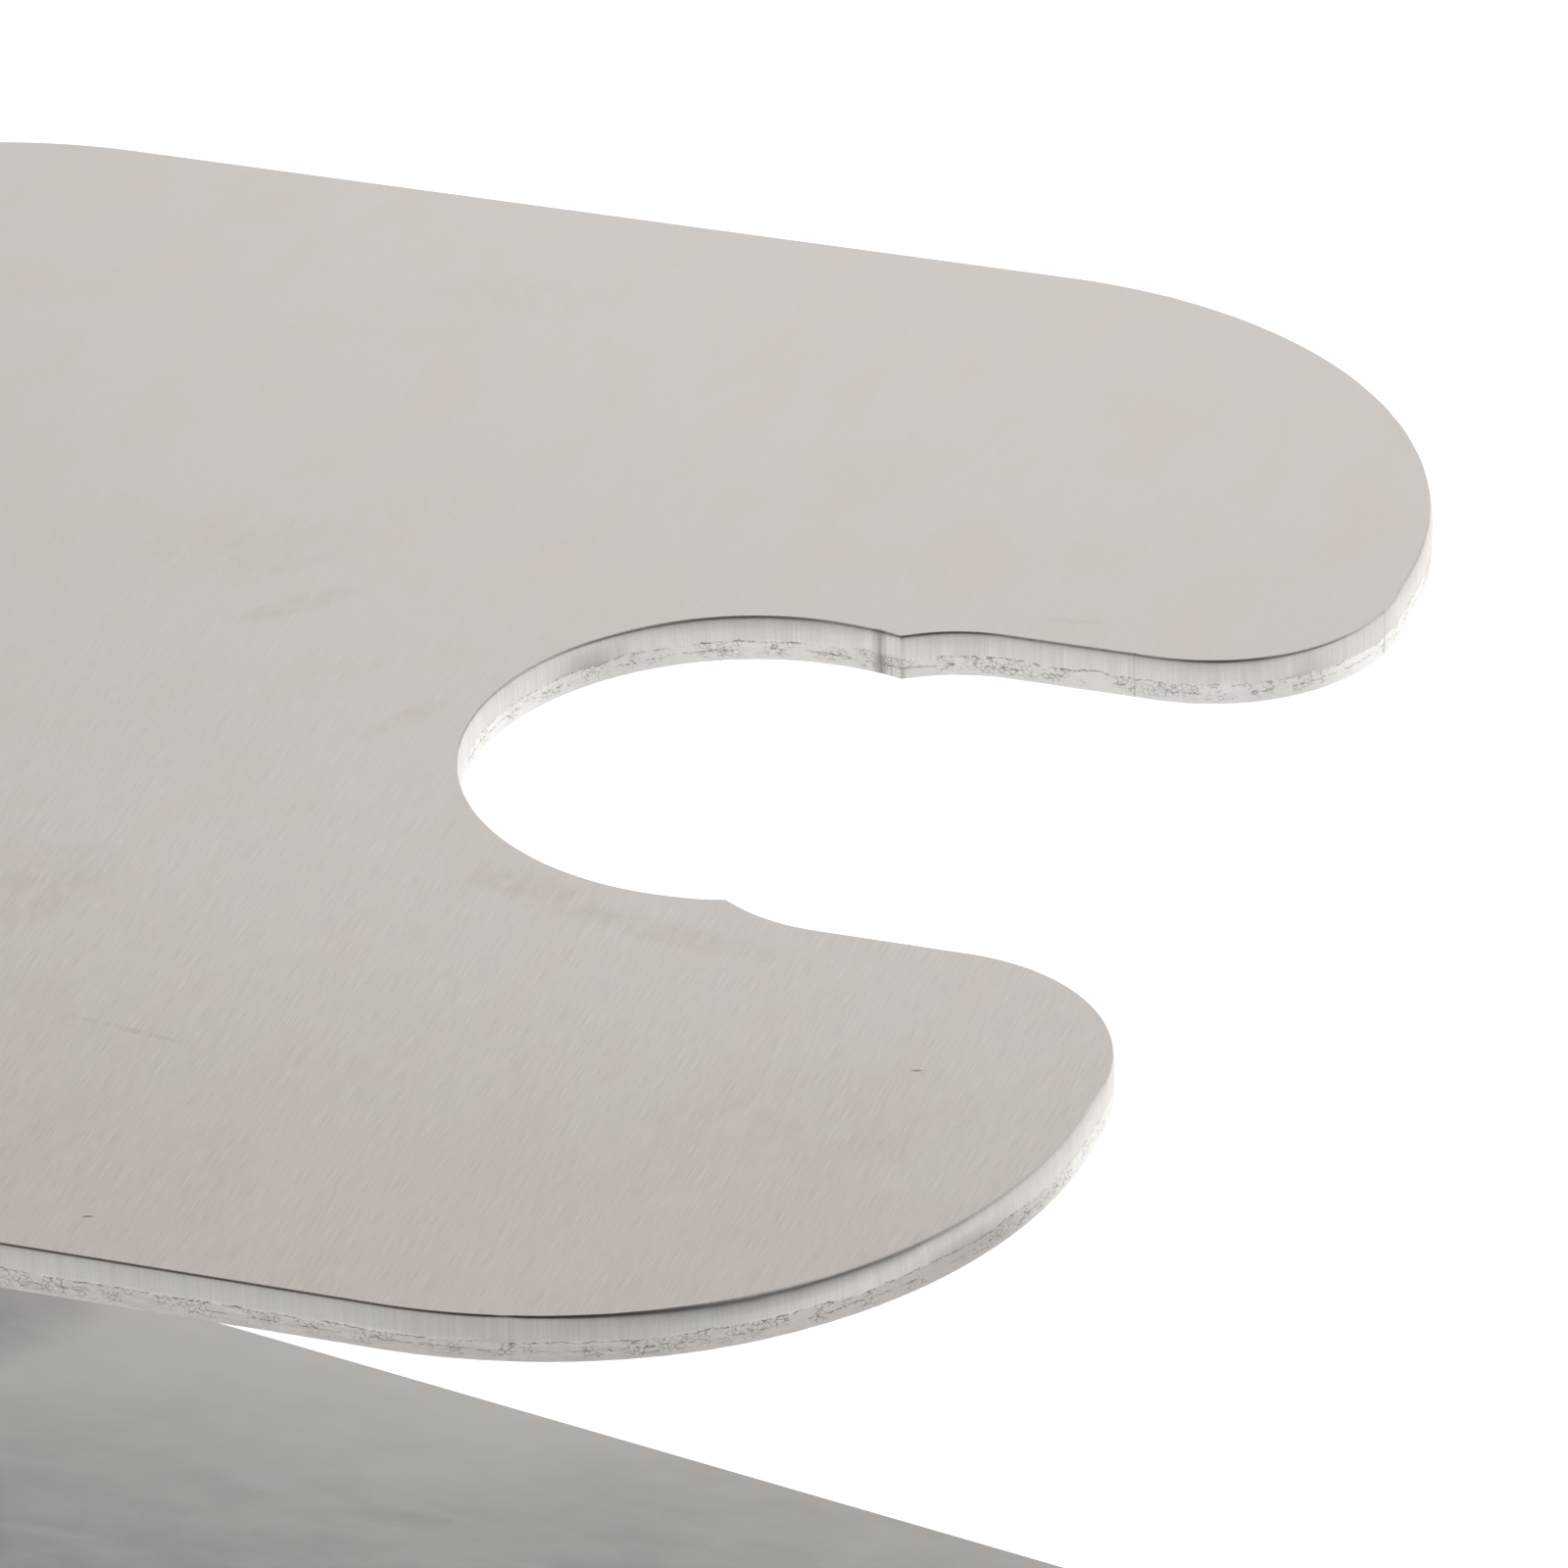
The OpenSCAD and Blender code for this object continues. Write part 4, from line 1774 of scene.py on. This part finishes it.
@dataclass
class Studio:
    """Plain pale floor, soft light and the camera.

    Attributes:
        azimuth: the camera's turn round the knife, in degrees; 0 looks along +Y.
        elevation: its height above the horizon, in degrees.
        roll: its turn about its own axis.
        distance: from the aimed point, in millimetres.
        lens: focal length on a 36 mm sensor.
        aim: the aimed point from the notch's centre on the plate's top.
        floor_r: radius of the floor.
        floor_tone: its grey.
        glow_back: how far the floor shines by itself behind the knife.
        glow_front: how far it shines in front.
        glow_from_to: where along Y the one begins to turn into the other, and ends.
        glow_lean: how far that moves along Y for each step along X.
        dim_from_to: where along X the floor's glow begins to fade, and ends.
        dim: how far it fades.
        sky_light: brightness of the room where it isn't dim.
        backdrop: brightness of the room in plain view.
        spot_reach: angles round the camera at which the dark behind it ends and is full.
        spot_left: brightness left there.
        band_turn: the same angles, round the knife, for the dim band at the horizon.
        band_reach: heights at which the band ends and is full.
        band_left: brightness left in the band.
        softbox_at: place of the softbox behind the knife, in metres.
        softbox_size: its side, in metres.
        softbox_watts: its power.
    """

    azimuth: float = 19.064
    elevation: float = 29.566
    roll: float = -1.245
    distance: float = 512.8
    lens: float = 297.8
    aim: tuple[float, float] = (2.214, -1.781)
    floor_r: float = 420.0
    floor_tone: float = 0.82
    glow_back: float = 0.62
    glow_front: float = 0.04
    glow_from_to: tuple[float, float] = (-132.0, -68.0)
    glow_lean: float = 0.2
    dim_from_to: tuple[float, float] = (20.0, 90.0)
    dim: float = 0.30
    sky_light: float = 0.80
    backdrop: float = 1.05
    spot_reach: tuple[float, float] = (38.0, 20.0)
    spot_left: float = 0.15
    band_turn: tuple[float, float] = (95.0, 60.0)
    band_reach: tuple[float, float] = (26.0, 12.0)
    band_left: float = 0.12
    softbox_at: tuple[float, float, float] = (-0.12, 0.46, 0.19)
    softbox_size: float = 0.28
    softbox_watts: float = 0.115

    def camera(self, notch: Vector) -> None:
        """Makes the camera.

        Args:
            notch: the notch's centre on the plate's top, in millimetres.
        """
        a, e, r = (math.radians(v) for v in (self.azimuth, self.elevation, self.roll))
        back = Vector((math.sin(a) * math.cos(e), -math.cos(a) * math.cos(e), math.sin(e)))
        right = Vector((math.cos(a), math.sin(a), 0))
        up = back.cross(right)
        side = math.cos(r) * right + math.sin(r) * up
        head = -math.sin(r) * right + math.cos(r) * up
        data = bpy.data.cameras.new("camera")
        data.lens, data.sensor_width = self.lens, 36.0
        data.clip_start, data.clip_end = 0.02, 20.0
        made = bpy.data.objects.new("camera", data)
        turn = Matrix((side, head, back)).transposed().to_4x4()
        spot = (notch + Vector((*self.aim, 0)) + back * self.distance) * MM
        made.matrix_world = Matrix.Translation(spot) @ turn
        bpy.context.scene.collection.objects.link(made)
        bpy.context.scene.camera = made

    def floor(self) -> None:
        """Lays the pale floor."""
        mesh = bmesh.new()
        bmesh.ops.create_circle(mesh, cap_ends=True, segments=96, radius=self.floor_r * MM)
        bmesh.ops.translate(mesh, verts=mesh.verts[:], vec=mm(0, 0, -0.02))
        made = to_object(mesh, "floor")
        g = Surface("pale_floor")
        glow = (g.y - g.x * self.glow_lean).ramp(*self.glow_from_to)
        glow = self.glow_front + (self.glow_back - self.glow_front) * glow
        glow = glow * (1 - g.x.ramp(*self.dim_from_to) * self.dim)
        made.data.materials.append(
            g.finish(
                Base_Color=(*(self.floor_tone,) * 3, 1),
                Roughness=0.9,
                Emission_Color=g.shade((1, 1, 1), glow),
                Emission_Strength=1.0,
            )
        )

    def sky(self) -> None:
        """Surrounds the knife with soft light, dim behind the camera."""
        world = bpy.data.worlds.new("studio")
        bpy.context.scene.world = world
        world.use_nodes = True
        g = Graph(world.node_tree)
        ray = g.node("ShaderNodeTexCoord", {}, {}, "Generated")
        height = g.node("ShaderNodeSeparateXYZ", {}, {"Vector": ray}, "Z")
        behind_camera = self._near(g, ray, self.elevation, self.spot_reach) * (1 - self.spot_left)
        front = self._near(g, ray, 0.0, self.band_turn) * (1 - self.band_left)
        band = front * abs(height).ramp(*(math.sin(math.radians(v)) for v in self.band_reach))
        lit = self.sky_light * (1 - behind_camera) * (1 - band)
        seen = g.node("ShaderNodeLightPath", {}, {}, "Is Camera Ray")
        strength = lit * (1 - seen) + seen * self.backdrop
        background = world.node_tree.nodes["Background"]
        background.inputs["Color"].default_value = (1, 1, 1, 1)
        world.node_tree.links.new(strength.socket, background.inputs["Strength"])

    def _near(self, g: Graph, ray: Signal, elevation: float, reach: tuple[float, float]) -> Signal:
        """Part of the room round a direction on the camera's side.

        Args:
            g: the world's graph.
            ray: direction of the light.
            elevation: the direction's height, in degrees.
            reach: angles from it at which the part ends and is full.

        Returns:
            1 in the part, 0 outside.
        """
        a, e = math.radians(self.azimuth), math.radians(elevation)
        towards = (math.sin(a) * math.cos(e), -math.cos(a) * math.cos(e), math.sin(e))
        facing = g.node("ShaderNodeVectorMath", {"operation": "DOT_PRODUCT"}, {0: ray, 1: towards}, 1)
        return facing.ramp(*(math.cos(math.radians(v)) for v in reach))

    def lamp(self, name: str, at: tuple[float, float, float], size: float, watts: float) -> None:
        """Hangs a square softbox that faces the knife.

        Args:
            name: its name.
            at: its place, in metres.
            size: its side, in metres.
            watts: its power.
        """
        data = bpy.data.lights.new(name, "AREA")
        data.size, data.energy = size, watts
        made = bpy.data.objects.new(name, data)
        made.location = at
        made.rotation_mode = "QUATERNION"
        made.rotation_quaternion = (-Vector(at)).to_track_quat("-Z", "Y")
        made.visible_camera = False
        bpy.context.scene.collection.objects.link(made)

    def build(self, notch: Vector) -> None:
        """Builds the studio.

        Args:
            notch: the notch's centre on the plate's top, in millimetres.
        """
        self.camera(notch)
        self.floor()
        self.sky()
        self.lamp("back_softbox", self.softbox_at, self.softbox_size, self.softbox_watts)
        bpy.context.scene.view_settings.view_transform = "Standard"


def main() -> None:
    """Builds the studio, then every piece in the order it is put together."""
    logging.basicConfig(level=logging.INFO, format="%(name)s %(message)s")
    plate = PalmPlate()
    Studio().build(Vector((plate.notch_x, 0, plate.span.high.z)))
    flange_rivets, doubler_rivets = Rivets("flange_rivets", 3), Rivets("doubler_rivets", 2)
    fasteners = PalmFasteners()

    blade = Blade()
    blade_piece = blade.build()
    for rivets in (flange_rivets, doubler_rivets):
        carve(blade_piece, rivets.seat_tool(-0.4, 2.0, True))
    blade.dress(blade_piece)

    doubler = HeelDoubler()
    doubler_piece = doubler.build()
    for rivets in (flange_rivets, doubler_rivets):
        carve(doubler_piece, rivets.seat_tool(0.2, 4.0, False))
    doubler.dress(doubler_piece)

    neck = NeckBracket()
    neck_piece = neck.build()
    carve(neck_piece, flange_rivets.seat_tool(1.0, 8.0, False))
    carve(neck_piece, fasteners.bore_tool(neck.span.high.z + 1, neck.span.high.z - neck.thickness - 1))
    neck.dress(neck_piece)

    palm_piece = plate.build()
    carve(palm_piece, fasteners.seat_tool())
    plate.dress(palm_piece)

    for rivets in (flange_rivets, doubler_rivets):
        rivets.dress(rivets.build())
    fasteners.dress(
        fasteners.build_screws(), fasteners.build_washers(), fasteners.build_nuts()
    )


if __name__ == "__main__":
    main()
